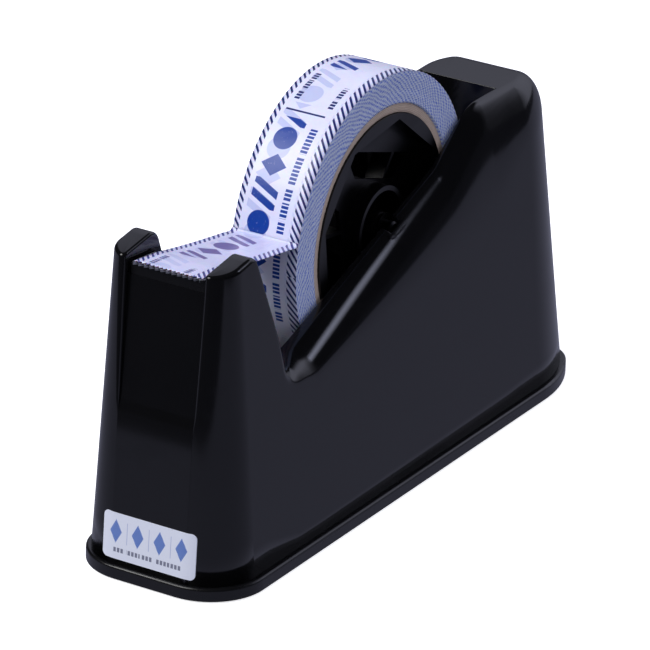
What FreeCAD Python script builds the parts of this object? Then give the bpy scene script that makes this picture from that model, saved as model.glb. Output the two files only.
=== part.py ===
import FreeCAD, Part
import math
import os
import re
import Sketcher

# A weighted desktop tape dispenser for 25 mm tape on a 76 mm core.
# Millimetres, +Z up. The origin is on the table in the middle plane of the dispenser,
# 111 mm behind the front of the base. X runs across, and the tape comes out towards -Y.

SIZES = {
    # Base plate: a plan outline with rounded front corners and a tapering rear.
    "rim_half": 31.6,
    "rim_front": 111.0,
    "rim_rear": 121.6,
    "rim_front_round": 20.0,
    "rim_shoulder": 52.0,
    "rim_corner": 14.0,
    "rim_flat": 12.0,
    "base_lift": 0.6,
    "base_thickness": 4.3,
    "base_edge_round": 1.0,
    "rib_inset": 5.3,
    "rib_inner_inset": 6.9,
    "rib_height": 3.0,
    # Foam pad, set into the underside of the base plate.
    "pad_inset": 6.0,
    "pad_recess": 0.9,
    "pad_thickness": 1.5,
    "pad_outline_inset": 6.3,
    # Shell: the same kind of outline, drafted from bottom to top.
    "shell_bottom": 4.9,
    "shell_rise": 112.0,
    "shell_half": 29.25,
    "shell_front": 109.2,
    "shell_rear": 119.6,
    "shell_front_round": 16.8,
    "shell_shoulder": 50.0,
    "shell_corner": 12.0,
    "shell_flat": 12.0,
    "side_draft": 0.065,
    "front_draft": 0.062,
    "rear_draft": 0.1705,
    "front_round_taper": 0.068,
    "shoulder_taper": 0.196,
    "corner_taper": 0.0268,
    "flat_taper": 0.0089,
    "wall": 2.6,
    # Crest line of the shell, seen from the side: horns, notch, rail, hump, top.
    "lead_y": 125.0,
    "lead_z": 90.1,
    "peak_y": 85.0,
    "peak_z": 112.4,
    "notch_y": 66.3,
    "notch_z": 63.7,
    "hump_y": 34.0,
    "hump_z": 98.3,
    "top_y": 57.5,
    "top_z": 113.8,
    "beyond": 150.0,
    "peak_drop_y": 1.4,
    "peak_drop_z": 3.7,
    "notch_drop_y": 1.5,
    "notch_drop_z": 3.3,
    "hump_drop_y": 1.2,
    "hump_drop_z": 2.5,
    "peak_round": 4.5,
    "notch_round": 3.0,
    "hump_round": 14.0,
    "crest_round": 4.5,
    # Well for the roll, and the recess between the horns.
    "axis_y": 7.4,
    "axis_z": 86.3,
    "well_half": 14.0,
    "well_radius": 67.9,
    "well_wall": 2.4,
    "ramp_low_y": 111.2,
    "ramp_low_z": 20.0,
    "platform_y": 99.6,
    "platform_z": 100.8,
    "platform_back": 72.0,
    # Axle saddles in the well walls.
    "slot_half": 3.08,
    "slot_reach": 17.6,
    "saddle_half": 8.0,
    "saddle_reach": 20.2,
    "saddle_low": 70.0,
    # Screw bosses in the shell, and the screws that hold the base plate.
    "boss_x": 22.3,
    "boss_front_y": 82.0,
    "boss_rear_y": 84.0,
    "boss_radius": 4.0,
    "boss_low": 8.1,
    "boss_height": 22.8,
    "screw_radius": 2.0,
    "screw_length": 16.0,
    "screw_head_radius": 3.9,
    "screw_head_height": 2.2,
    "screw_gap": 0.05,
    "screw_drive_half": 0.45,
    "screw_drive_depth": 1.0,
    "screw_recess": 0.05,
    # Cast ballast blocks in the front tower and in the rear.
    "ballast_half": 15.5,
    "ballast_front_y": 101.5,
    "ballast_front_length": 36.0,
    "ballast_front_height": 54.0,
    "ballast_rear_y": 82.0,
    "ballast_rear_length": 21.5,
    "ballast_rear_height": 60.0,
    "ballast_edge": 2.0,
    "ballast_screw_x": 9.0,
    "ballast_hole_depth": 16.0,
    # Blade holder and blade between the horns.
    "holder_half": 13.85,
    "holder_back": 84.0,
    "holder_front_z": 104.34,
    "holder_back_z": 102.92,
    "blade_half": 13.3,
    "blade_tip": 100.9,
    "blade_thickness": 0.7,
    "blade_slope": 5.2,
    "blade_tip_z": 105.18,
    "blade_length": 13.9,
    "tooth_depth": 1.3,
    "rivet_x": 8.0,
    "rivet_y": 8.0,
    "rivet_radius": 1.25,
    "rivet_sink": 0.05,
    "rivet_length": 2.6,
    # Screws that hold the blade holder down, from inside the shell.
    "holder_screw_x": 9.5,
    "holder_screw_y": 86.8,
    "holder_screw_radius": 1.1,
    "holder_screw_length": 4.4,
    "holder_screw_head": 2.2,
    "holder_screw_head_height": 1.3,
    # Axle, clips and the two hub halves.
    "axle_radius": 3.0,
    "axle_half": 17.2,
    "axle_chamfer": 0.6,
    "groove_x": 12.85,
    "groove_width": 0.7,
    "groove_depth": 0.5,
    "clip_thickness": 0.6,
    "clip_radius": 5.2,
    "clip_gap": 0.05,
    "clip_mouth": 1.6,
    "hub_half": 12.4,
    "hub_vertex": 37.9,
    "hub_inner_vertex": 36.0,
    "hub_split": 0.05,
    "web_start": 5.0,
    "web_thickness": 1.6,
    "web_vertex": 37.0,
    "window_inner": 20.0,
    "window_outer": 33.0,
    "flange_radius": 38.05,
    "flange_thickness": 1.4,
    "spine_inner": 13.5,
    "spine_outer": 35.5,
    "drum_outer": 14.0,
    "drum_inner": 12.4,
    "sleeve_outer": 5.4,
    "sleeve_half": 11.9,
    "axle_fit": 0.05,
    "washer_start": 11.95,
    "washer_thickness": 0.8,
    "washer_radius": 5.0,
    # Roll of tape.
    "core_inner": 38.1,
    "core_outer": 41.4,
    "core_half": 12.7,
    "roll_outer": 52.1,
    "tape_half": 12.5,
    # Free end of the tape.
    "tail_start_y": 43.9,
    "tail_start_z": 96.35,
    "tail_bend_y": 86.0,
    "tail_bend_z": 103.95,
    "tail_end_y": 100.4,
    "tail_end_z": 105.26,
    "tail_thickness": 0.2,
    # Plain label on the front.
    "label_half": 17.4,
    "label_low": 6.8,
    "label_high": 22.3,
    "label_round": 1.8,
    "label_thickness": 0.25,
    "label_plane": 95.0,
    "label_reach": 20.0,
}

HUB_SIDES = 8
HUB_TURN = 75
WINDOW_ANGLES = (72, 192, 312)
LEFT_WINDOW_TURN = 60
WINDOW_SPREAD_INNER = 42
WINDOW_SPREAD_OUTER = 44
SPINE_OFFSET = -20
SPINE_TURN = 1.8
TOOTH_COUNT = 13

# How close an edge has to be to the crest line to be rounded, and where the rear wall starts.
CORNER_REACH = 0.5
RIM_REACH = 3.0
REAR_WALL_Y = 80

doc = FreeCAD.newDocument("TapeDispenser")
sheet = doc.addObject("Spreadsheet::Sheet", "Dims")
for row, (alias, value) in enumerate(SIZES.items(), start=1):
    sheet.set(f"A{row}", alias)
    sheet.set(f"B{row}", str(value))
    sheet.setAlias(f"B{row}", alias)
doc.recompute()


# ---------- reading and binding sizes ----------

def amount(text):
    """Number that a sum such as "-shell_half+wall*2" stands for."""
    total = 0.0
    for term in re.findall(r"[+-]?[^+-]+", text.replace(" ", "")):
        product = -1.0 if term.startswith("-") else 1.0
        for factor in term.lstrip("+-").split("*"):
            product *= SIZES[factor] if factor in SIZES else float(factor)
        total += product
    return total


def formula(text):
    """The same sum, written for the document's expression engine."""
    return re.sub(r"[a-z]\w*", lambda match: "Dims." + match.group(0), text)


def bind(thing, **sizes):
    for name, text in sizes.items():
        thing.setExpression(name.replace("__", "."), formula(text))


# ---------- sketch helpers ----------

def new_body(name):
    body = doc.addObject("PartDesign::Body", name)
    body.Label = name
    return body


def new_sketch(body, name, plane, offset=None):
    sketch = body.newObject("Sketcher::SketchObject", name)
    support = [item for item in body.Origin.OriginFeatures if item.Role == plane][0]
    sketch.AttachmentSupport = (support, [""])
    sketch.MapMode = "FlatFace"
    if offset:
        sketch.setExpression("AttachmentOffset.Base.z", formula(offset))
    return sketch


def measure(sketch, kind, text, *places):
    """Add a driving dimension whose value follows the sheet."""
    if kind in ("DistanceX", "DistanceY") and text == "0":
        axis = -2 if kind == "DistanceX" else -1
        sketch.addConstraint(Sketcher.Constraint("PointOnObject", *places[-2:], axis))
        return
    index = sketch.addConstraint(Sketcher.Constraint(kind, *places, amount(text)))
    sketch.renameConstraint(index, f"size{index}")
    sketch.setExpression(f"Constraints.size{index}", formula(text))


def pin(sketch, geometry, end, x_text, y_text):
    """Hold one end of an edge at a place given by two sums."""
    measure(sketch, "DistanceX", x_text, -1, 1, geometry, end)
    measure(sketch, "DistanceY", y_text, -1, 1, geometry, end)


def vector(x_text, y_text):
    return FreeCAD.Vector(amount(x_text), amount(y_text), 0)


def joined(sketch, edges):
    for here in edges:
        after = edges[(edges.index(here) + 1) % len(edges)]
        sketch.addConstraint(Sketcher.Constraint("Coincident", here, 2, after, 1))


def polygon(sketch, corners):
    """Closed outline of straight edges through corners given as pairs of sums."""
    points = [vector(*corner) for corner in corners]
    edges = []
    for here, after in zip(points, points[1:] + points[:1]):
        edges.append(sketch.addGeometry(Part.LineSegment(here, after), False))
    joined(sketch, edges)
    for edge, corner in zip(edges, corners):
        pin(sketch, edge, 1, *corner)


def circle(sketch, x_text, y_text, radius_text):
    shape = Part.Circle(vector(x_text, y_text), FreeCAD.Vector(0, 0, 1), amount(radius_text))
    index = sketch.addGeometry(shape, False)
    pin(sketch, index, 3, x_text, y_text)
    measure(sketch, "Radius", radius_text, index)


def arc_edge(sketch, centre, radius, start, end):
    whole = Part.Circle(centre, FreeCAD.Vector(0, 0, 1), radius)
    return sketch.addGeometry(Part.ArcOfCircle(whole, start, end), False)


def plan_outline(sketch, half, front, rear, front_round, shoulder, corner, flat):
    """Outline seen from above: straight flanks, round front corners, tapering rear."""
    size = {"half": amount(half), "front": amount(front), "rear": amount(rear)}
    bow, tight, nose = amount(shoulder), amount(corner), amount(front_round)
    turn = math.acos((amount(flat) - size["half"] + bow) / (bow - tight))
    start_y = size["rear"] - tight - (bow - tight) * math.sin(turn)
    tight_y = size["rear"] - tight
    front_x = size["half"] - nose
    front_y = size["front"] + nose
    up, left, down = math.pi / 2, math.pi, math.pi * 1.5
    point = FreeCAD.Vector
    line = Part.LineSegment
    edges = [
        sketch.addGeometry(line(point(-front_x, size["front"]), point(front_x, size["front"]))),
        arc_edge(sketch, point(front_x, front_y), nose, down, 2 * math.pi),
        sketch.addGeometry(line(point(size["half"], front_y), point(size["half"], start_y))),
        arc_edge(sketch, point(size["half"] - bow, start_y), bow, 0, turn),
        arc_edge(sketch, point(amount(flat), tight_y), tight, turn, up),
        sketch.addGeometry(line(point(amount(flat), size["rear"]), point(-amount(flat), size["rear"]))),
        arc_edge(sketch, point(-amount(flat), tight_y), tight, up, left - turn),
        arc_edge(sketch, point(bow - size["half"], start_y), bow, left - turn, left),
        sketch.addGeometry(line(point(-size["half"], start_y), point(-size["half"], front_y))),
        arc_edge(sketch, point(-front_x, front_y), nose, left, down),
    ]
    for here in edges:
        after = edges[(edges.index(here) + 1) % len(edges)]
        sketch.addConstraint(Sketcher.Constraint("Tangent", here, 2, after, 1))
    sketch.addConstraint(Sketcher.Constraint("Symmetric", edges[0], 1, edges[0], 2, -2))
    sketch.addConstraint(Sketcher.Constraint("Symmetric", edges[5], 1, edges[5], 2, -2))
    sketch.addConstraint(Sketcher.Constraint("Vertical", edges[2]))
    sketch.addConstraint(Sketcher.Constraint("Vertical", edges[8]))
    for right, other in ((1, 9), (3, 7), (4, 6)):
        sketch.addConstraint(Sketcher.Constraint("Equal", edges[right], edges[other]))
    measure(sketch, "Radius", front_round, edges[1])
    measure(sketch, "Radius", shoulder, edges[3])
    measure(sketch, "Radius", corner, edges[4])
    measure(sketch, "DistanceX", half, -1, 1, edges[2], 1)
    measure(sketch, "DistanceY", front, -1, 1, edges[0], 1)
    measure(sketch, "DistanceX", flat, -1, 1, edges[5], 1)
    measure(sketch, "DistanceY", rear, -1, 1, edges[5], 1)


def rim_outline(sketch, inset="0"):
    plan_outline(
        sketch,
        half=f"rim_half-{inset}",
        front=f"-rim_front+{inset}",
        rear=f"rim_rear-{inset}",
        front_round=f"rim_front_round-{inset}",
        shoulder=f"rim_shoulder-{inset}",
        corner=f"rim_corner-{inset}",
        flat="rim_flat",
    )


def shell_outline(sketch, rise, outward, inward):
    plan_outline(
        sketch,
        half=f"shell_half-side_draft*{rise}{outward}",
        front=f"-shell_front+front_draft*{rise}{inward}",
        rear=f"shell_rear-rear_draft*{rise}{outward}",
        front_round=f"shell_front_round-front_round_taper*{rise}{outward}",
        shoulder=f"shell_shoulder-shoulder_taper*{rise}{outward}",
        corner=f"shell_corner-corner_taper*{rise}{outward}",
        flat=f"shell_flat-flat_taper*{rise}",
    )


# ---------- feature helpers ----------

def pad(body, name, sketch, length, reverse=False, middle=False):
    feature = body.newObject("PartDesign::Pad", name)
    feature.Profile = sketch
    feature.Reversed = reverse
    if middle:
        feature.SideType = "Symmetric"
    bind(feature, Length=length)
    return feature


def pocket(body, name, sketch, length, reverse=False, middle=False):
    feature = body.newObject("PartDesign::Pocket", name)
    feature.Profile = sketch
    feature.Reversed = reverse
    if middle:
        feature.SideType = "Symmetric"
    bind(feature, Length=length)
    return feature


def side_pocket(body, name, width, corners):
    """Cut a side-view outline out of the body, evenly about the middle plane."""
    sketch = new_sketch(body, name + "_outline", "YZ_Plane")
    polygon(sketch, corners)
    return pocket(body, name, sketch, width, middle=True)


def round_edges(body, name, base, radius, test):
    doc.recompute()
    names = []
    for number, edge in enumerate(base.Shape.Edges, start=1):
        if test(edge):
            names.append(f"Edge{number}")
    feature = body.newObject("PartDesign::Fillet", name)
    feature.Base = (base, names)
    bind(feature, Radius=radius)
    return feature


def cylinder(name, radius, height, x="0", y="0", z="0", along="Z"):
    item = doc.addObject("Part::Cylinder", name)
    bind(item, Radius=radius, Height=height)
    place(item, x, y, z, along)
    return item


def box(name, length, width, height, x="0", y="0", z="0"):
    item = doc.addObject("Part::Box", name)
    bind(item, Length=length, Width=width, Height=height)
    place(item, x, y, z)
    return item


def place(item, x="0", y="0", z="0", along="Z"):
    turn = FreeCAD.Rotation(FreeCAD.Vector(0, 1, 0), 90 if along == "X" else 0)
    item.Placement = FreeCAD.Placement(FreeCAD.Vector(0, 0, 0), turn)
    bind(item, Placement__Base__x=x, Placement__Base__y=y, Placement__Base__z=z)


def fuse(name, items):
    joint = doc.addObject("Part::MultiFuse", name)
    joint.Shapes = items
    return joint


def cut(name, base, tool):
    result = doc.addObject("Part::Cut", name)
    result.Base = base
    result.Tool = tool
    result.Label = name
    return result


def group(name, items):
    compound = doc.addObject("Part::Compound", name)
    compound.Links = items
    compound.Label = name
    return compound


# ---------- shell ----------

def drafted_block(body, name, outward="", inward=""):
    """Tapering block with the shell's outline, made larger or smaller all round."""
    low = new_sketch(body, name + "_low", "XY_Plane", "shell_bottom")
    shell_outline(low, "0", outward, inward)
    high = new_sketch(body, name + "_high", "XY_Plane", "shell_bottom+shell_rise")
    shell_outline(high, "shell_rise", outward, inward)
    loft = body.newObject("PartDesign::AdditiveLoft", name)
    loft.Profile = low
    loft.Sections = [high]
    loft.Ruled = True
    return loft


def well_pocket(body, name, radius, width):
    """U-shaped pocket around the roll's axis, open at the top."""
    sketch = new_sketch(body, name + "_outline", "YZ_Plane")
    centre = vector("axis_y", "axis_z")
    reach = amount(radius)
    top = amount("beyond")
    left = FreeCAD.Vector(centre.x - reach, centre.y, 0)
    right = FreeCAD.Vector(centre.x + reach, centre.y, 0)
    high_left = FreeCAD.Vector(left.x, top, 0)
    high_right = FreeCAD.Vector(right.x, top, 0)
    edges = [
        arc_edge(sketch, centre, reach, math.pi, 2 * math.pi),
        sketch.addGeometry(Part.LineSegment(right, high_right)),
        sketch.addGeometry(Part.LineSegment(high_right, high_left)),
        sketch.addGeometry(Part.LineSegment(high_left, left)),
    ]
    joined(sketch, edges)
    pin(sketch, edges[0], 3, "axis_y", "axis_z")
    pin(sketch, edges[1], 1, "axis_y+" + radius, "axis_z")
    pin(sketch, edges[2], 1, "axis_y+" + radius, "beyond")
    pin(sketch, edges[3], 1, "axis_y-" + radius.replace("+", "-"), "beyond")
    measure(sketch, "DistanceY", "axis_z", -1, 1, edges[3], 2)
    return pocket(body, name, sketch, width, middle=True)


CREST = [
    ("-lead_y", "lead_z"),
    ("-peak_y", "peak_z"),
    ("-notch_y", "notch_z"),
    ("hump_y", "hump_z"),
    ("top_y", "top_z"),
    ("beyond", "top_z"),
    ("beyond", "beyond"),
    ("-lead_y", "beyond"),
]

INNER_CREST = [
    ("-lead_y", "lead_z-peak_drop_z"),
    ("-peak_y-peak_drop_y", "peak_z-peak_drop_z"),
    ("-notch_y-notch_drop_y", "notch_z-notch_drop_z"),
    ("hump_y+hump_drop_y", "hump_z-hump_drop_z"),
    ("top_y+hump_drop_y", "top_z-wall"),
    ("beyond", "top_z-wall"),
    ("beyond", "beyond"),
    ("-lead_y", "beyond"),
]


def recess_corners(inset):
    """Side view of the space between the horns: front ramp and tape platform."""
    return [
        ("-lead_y", "ramp_low_z"),
        (f"-ramp_low_y+{inset}", "ramp_low_z"),
        (f"-platform_y+{inset}", f"platform_z-{inset}"),
        ("-platform_back", f"platform_z-{inset}"),
        ("-platform_back", "beyond"),
        ("-lead_y", "beyond"),
    ]


def on_line(edge, y_alias, z_alias):
    """True for a straight edge across the body at a corner of the crest line."""
    middle = edge.valueAt((edge.FirstParameter + edge.LastParameter) / 2)
    across = abs(edge.tangentAt(edge.FirstParameter).x) > 0.99
    return across and math.hypot(middle.y - amount(y_alias), middle.z - amount(z_alias)) < CORNER_REACH


def crest_height(y):
    """Height of the crest line over the table at a place along the dispenser."""
    line = [(amount(a), amount(b)) for a, b in CREST[:6]]
    for (y_low, z_low), (y_high, z_high) in zip(line, line[1:]):
        if y_low <= y <= y_high:
            return z_low + (z_high - z_low) * (y - y_low) / (y_high - y_low)
    return line[0][1]


def on_crest_rim(edge):
    """True for an edge where the crest meets the outside of the shell, clear of the notch."""
    places = [edge.valueAt(edge.FirstParameter + share * (edge.LastParameter - edge.FirstParameter))
              for share in (0.1, 0.5, 0.9)]
    across = abs(edge.tangentAt(edge.FirstParameter).x) > 0.999 and places[1].y < REAR_WALL_Y
    return not across and all(abs(place.z - crest_height(place.y)) < RIM_REACH for place in places)


def make_outer():
    outer = new_body("shell_outer")
    drafted_block(outer, "outer_block")
    soft = side_pocket(outer, "crest", "beyond", CREST)
    soft = round_edges(outer, "peak_rounding", soft, "peak_round",
                       lambda edge: on_line(edge, "-peak_y", "peak_z"))
    soft = round_edges(outer, "notch_rounding", soft, "notch_round",
                       lambda edge: on_line(edge, "-notch_y", "notch_z"))
    soft = round_edges(outer, "hump_rounding", soft, "hump_round",
                       lambda edge: on_line(edge, "hump_y", "hump_z") or on_line(edge, "top_y", "top_z"))
    round_edges(outer, "crest_rounding", soft, "crest_round", on_crest_rim)
    well_pocket(outer, "well", "well_radius", "well_half*2")
    side_pocket(outer, "recess", "well_half*2", recess_corners("0"))
    slot = new_sketch(outer, "slot_outline", "YZ_Plane")
    polygon(slot, [
        ("axis_y-slot_half", "axis_z"),
        ("axis_y+slot_half", "axis_z"),
        ("axis_y+slot_half", "beyond"),
        ("axis_y-slot_half", "beyond"),
    ])
    pocket(outer, "slot", slot, "slot_reach*2", middle=True)
    seat = new_sketch(outer, "seat_outline", "YZ_Plane")
    circle(seat, "axis_y", "axis_z", "slot_half")
    pocket(outer, "seat", seat, "slot_reach*2", middle=True)
    return outer


def make_cavity():
    """The empty space inside the shell, open at the bottom."""
    cavity = new_body("shell_cavity")
    drafted_block(cavity, "inner_block", "-wall", "+wall")
    side_pocket(cavity, "inner_crest", "beyond", INNER_CREST)
    well_pocket(cavity, "well_skin", "well_radius+well_wall", "well_half*2+well_wall*2")
    side_pocket(cavity, "recess_skin", "well_half*2+well_wall*2", recess_corners("wall"))
    side_pocket(cavity, "saddle", "saddle_reach*2", [
        ("axis_y-saddle_half", "saddle_low"),
        ("axis_y+saddle_half", "saddle_low"),
        ("axis_y+saddle_half", "beyond"),
        ("axis_y-saddle_half", "beyond"),
    ])
    return cavity


BOSS_PLACES = [
    ("boss_x", "-boss_front_y"),
    ("-boss_x", "-boss_front_y"),
    ("boss_x", "boss_rear_y"),
    ("-boss_x", "boss_rear_y"),
]

BALLAST_PLACES = [
    ("ballast_screw_x", "-ballast_front_y+ballast_front_length*0.5"),
    ("-ballast_screw_x", "-ballast_front_y+ballast_front_length*0.5"),
    ("ballast_screw_x", "ballast_rear_y+ballast_rear_length*0.5"),
    ("-ballast_screw_x", "ballast_rear_y+ballast_rear_length*0.5"),
]


def holder_bores(owner):
    """Holes for the two screws that hold the blade holder on the shell."""
    return [
        cylinder(f"{owner}_holder_bore_{number}", "holder_screw_radius+screw_gap*0.5",
                 "holder_screw_length+screw_gap", side + "holder_screw_x", "-holder_screw_y",
                 "platform_z-wall")
        for number, side in enumerate(("", "-"), start=1)
    ]


def make_shell():
    hollow = cut("shell_hollow", make_outer(), make_cavity())
    bosses = []
    pilots = []
    for number, (x, y) in enumerate(BOSS_PLACES, start=1):
        bosses.append(cylinder(f"boss_{number}", "boss_radius", "boss_height", x, y, "boss_low"))
        pilots.append(cylinder(f"pilot_{number}", "screw_radius+screw_gap*0.5",
                               "ballast_hole_depth", x, y, "shell_bottom"))
    pilots += holder_bores("shell")
    return cut("shell", fuse("shell_with_bosses", [hollow] + bosses), fuse("pilots", pilots))


# ---------- base plate, pad, ballast and their screws ----------

def make_base_plate():
    body = new_body("base_plate")
    outline = new_sketch(body, "plate_outline", "XY_Plane", "base_lift")
    rim_outline(outline)
    plate = pad(body, "plate", outline, "base_thickness")
    top = amount("base_lift+base_thickness")
    round_edges(body, "plate_edge", plate, "base_edge_round",
                lambda edge: abs(edge.BoundBox.ZMin - top) < 0.01 and edge.BoundBox.ZLength < 0.01)
    rib = new_sketch(body, "rib_outline", "XY_Plane", "base_lift+base_thickness")
    rim_outline(rib, "rib_inset")
    rim_outline(rib, "rib_inner_inset")
    pad(body, "locating_rib", rib, "rib_height")
    recess = new_sketch(body, "pad_outline", "XY_Plane", "base_lift")
    rim_outline(recess, "pad_inset")
    pocket(body, "pad_recess", recess, "pad_recess", reverse=True)
    for name, radius, depth in (
        ("head_holes", "screw_head_radius+screw_gap", "pad_recess+screw_recess+screw_head_height"),
        ("shank_holes", "screw_radius+screw_gap", "base_thickness+rib_height"),
    ):
        holes = new_sketch(body, name + "_outline", "XY_Plane", "base_lift")
        for x, y in BOSS_PLACES + BALLAST_PLACES:
            circle(holes, x, y, radius)
        pocket(body, name, holes, depth, reverse=True)
    return body


def make_pad():
    body = new_body("foam_pad")
    outline = new_sketch(body, "foam_outline", "XY_Plane")
    rim_outline(outline, "pad_outline_inset")
    pad(body, "foam", outline, "pad_thickness")
    return body


def make_ballast(name, front, length, height):
    body = new_body(name)
    outline = new_sketch(body, name + "_outline", "XY_Plane", "shell_bottom")
    polygon(outline, [
        ("-ballast_half", front),
        ("ballast_half", front),
        ("ballast_half", f"{front}+{length}"),
        ("-ballast_half", f"{front}+{length}"),
    ])
    block = pad(body, name + "_block", outline, height)
    round_edges(body, name + "_edges", block, "ballast_edge",
                lambda edge: edge.BoundBox.ZMax > amount("shell_bottom") + 1)
    holes = new_sketch(body, name + "_holes", "XY_Plane", "shell_bottom")
    middle = f"{front}+{length}*0.5"
    circle(holes, "ballast_screw_x", middle, "screw_radius+screw_gap*0.5")
    circle(holes, "-ballast_screw_x", middle, "screw_radius+screw_gap*0.5")
    pocket(body, name + "_threads", holes, "ballast_hole_depth", reverse=True)
    return body


def make_screw(name, x, y, low, head_radius, head_height, radius, length):
    """Pan head screw, driven upwards from below, with a cross recess."""
    head = cylinder(name + "_head", head_radius, head_height, x, y, low)
    shank = cylinder(name + "_shank", radius, length, x, y, f"{low}+{head_height}")
    arms = []
    for number, (half_x, half_y) in enumerate((
        (radius, "screw_drive_half"),
        ("screw_drive_half", radius),
    )):
        arms.append(box(f"{name}_drive_{number}", half_x + "*2", half_y + "*2",
                        "screw_drive_depth", f"{x}-{half_x}", f"{y}-{half_y}", low))
    return cut(name, fuse(name + "_blank", [head, shank]), fuse(name + "_cross", arms))


def make_screws(name, places):
    return group(name, [
        make_screw(f"{name}_{number}", x, y, "base_lift+pad_recess+screw_recess",
                   "screw_head_radius", "screw_head_height", "screw_radius", "screw_length")
        for number, (x, y) in enumerate(places, start=1)
    ])


def make_holder_screws():
    return group("holder_screws", [
        make_screw(f"holder_screw_{number}", side + "holder_screw_x", "-holder_screw_y",
                   "platform_z-wall-holder_screw_head_height",
                   "holder_screw_head", "holder_screw_head_height", "holder_screw_radius",
                   "holder_screw_length")
        for number, side in enumerate(("", "-"), start=1)
    ])


# ---------- blade and its holder ----------

def tilt_to_blade(item):
    """Move a piece drawn flat at the blade's tip line to its real slope and place."""
    tilt = FreeCAD.Rotation(FreeCAD.Vector(1, 0, 0), -amount("blade_slope"))
    item.Placement = FreeCAD.Placement(FreeCAD.Vector(0, 0, 0), tilt)
    bind(item, Placement__Base__y="-blade_tip", Placement__Base__z="blade_tip_z")


def make_rivets():
    rivets = []
    for number, side in enumerate(("", "-"), start=1):
        rivet = doc.addObject("PartDesign::Body", f"rivet_{number}")
        outline = new_sketch(rivet, f"rivet_{number}_outline", "XY_Plane", "-rivet_sink")
        circle(outline, side + "rivet_x", "rivet_y", "rivet_radius")
        pad(rivet, f"rivet_{number}_pin", outline, "rivet_length", reverse=True)
        tilt_to_blade(rivet)
        rivets.append(rivet)
    return group("blade_rivets", rivets)


def make_blade():
    """Steel strip with a saw-tooth front edge."""
    body = new_body("cutter_blade")
    outline = new_sketch(body, "blade_outline", "XY_Plane")
    corners = [("blade_half", "tooth_depth"), ("blade_half", "blade_length")]
    corners += [("-blade_half", "blade_length"), ("-blade_half", "tooth_depth")]
    for tooth in range(TOOTH_COUNT):
        tip = (2 * tooth + 1) / TOOTH_COUNT
        valley = (2 * tooth + 2) / TOOTH_COUNT
        corners.append((f"-blade_half+blade_half*{tip:.6f}", "0"))
        if tooth < TOOTH_COUNT - 1:
            corners.append((f"-blade_half+blade_half*{valley:.6f}", "tooth_depth"))
    polygon(outline, corners)
    pad(body, "strip", outline, "blade_thickness", reverse=True)
    holes = new_sketch(body, "blade_holes_outline", "XY_Plane")
    for side in ("", "-"):
        circle(holes, side + "rivet_x", "rivet_y", "rivet_radius+screw_gap")
    pocket(body, "blade_holes", holes, "blade_thickness")
    tilt_to_blade(body)
    return body


def make_holder():
    body = new_body("holder_block")
    outline = new_sketch(body, "holder_outline", "YZ_Plane")
    polygon(outline, [
        ("-platform_y", "platform_z"),
        ("-holder_back", "platform_z"),
        ("-holder_back", "holder_back_z"),
        ("-platform_y", "holder_front_z"),
    ])
    pad(body, "holder", outline, "holder_half*2", middle=True)
    bores = []
    for number, side in enumerate(("", "-"), start=1):
        bore = new_body(f"rivet_bore_{number}")
        ring = new_sketch(bore, f"rivet_bore_{number}_outline", "XY_Plane")
        circle(ring, side + "rivet_x", "rivet_y", "rivet_radius+screw_gap")
        pad(bore, f"rivet_bore_{number}_pin", ring, "rivet_length+rivet_sink+screw_gap", reverse=True)
        tilt_to_blade(bore)
        bores.append(bore)
    return cut("blade_holder", body, fuse("holder_openings", bores + holder_bores("holder")))


# ---------- axle and hub ----------

def make_axle():
    """Turned rod with chamfered ends and a groove for a clip near each end."""
    body = new_body("axle")
    profile = new_sketch(body, "axle_profile", "XY_Plane")
    half = [
        ("axle_half", "0"),
        ("axle_half", "axle_radius-axle_chamfer"),
        ("axle_half-axle_chamfer", "axle_radius"),
        ("groove_x+groove_width", "axle_radius"),
        ("groove_x+groove_width", "axle_radius-groove_depth"),
        ("groove_x", "axle_radius-groove_depth"),
        ("groove_x", "axle_radius"),
    ]
    mirrored = []
    for x, y in reversed(half):
        swapped = x.replace("+", "~").replace("-", "+").replace("~", "-")
        mirrored.append(("-" + swapped, y))
    polygon(profile, half + mirrored)
    turned = body.newObject("PartDesign::Revolution", "turned_rod")
    turned.Profile = profile
    turned.ReferenceAxis = (profile, ["H_Axis"])
    turned.Angle = 360
    bind(body, Placement__Base__y="axis_y", Placement__Base__z="axis_z")
    return body


def make_clips():
    """Two open spring clips that keep the hub in the middle of the axle."""
    clips = []
    for number, start in enumerate(("groove_x+clip_gap", "-groove_x-clip_gap-clip_thickness"), start=1):
        disc = cylinder(f"clip_{number}_disc", "clip_radius", "clip_thickness",
                        start, "axis_y", "axis_z", "X")
        hole = cylinder(f"clip_{number}_hole", "axle_radius-groove_depth+clip_gap",
                        "clip_thickness", start, "axis_y", "axis_z", "X")
        mouth = box(f"clip_{number}_mouth", "clip_thickness", "clip_mouth*2", "clip_radius*2",
                    start, "axis_y-clip_mouth", "axis_z-clip_radius*2")
        clips.append(cut(f"clip_{number}", disc, fuse(f"clip_{number}_opening", [hole, mouth])))
    return group("axle_clips", clips)


def make_washers():
    """Two plain washers between the hub's sleeve and the clips."""
    washers = []
    for number, start in enumerate(("washer_start", "-washer_start-washer_thickness"), start=1):
        disc = cylinder(f"washer_{number}_disc", "washer_radius", "washer_thickness",
                        start, "axis_y", "axis_z", "X")
        hole = cylinder(f"washer_{number}_hole", "axle_radius+axle_fit", "washer_thickness",
                        start, "axis_y", "axis_z", "X")
        washers.append(cut(f"washer_{number}", disc, hole))
    return group("axle_washers", washers)


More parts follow.
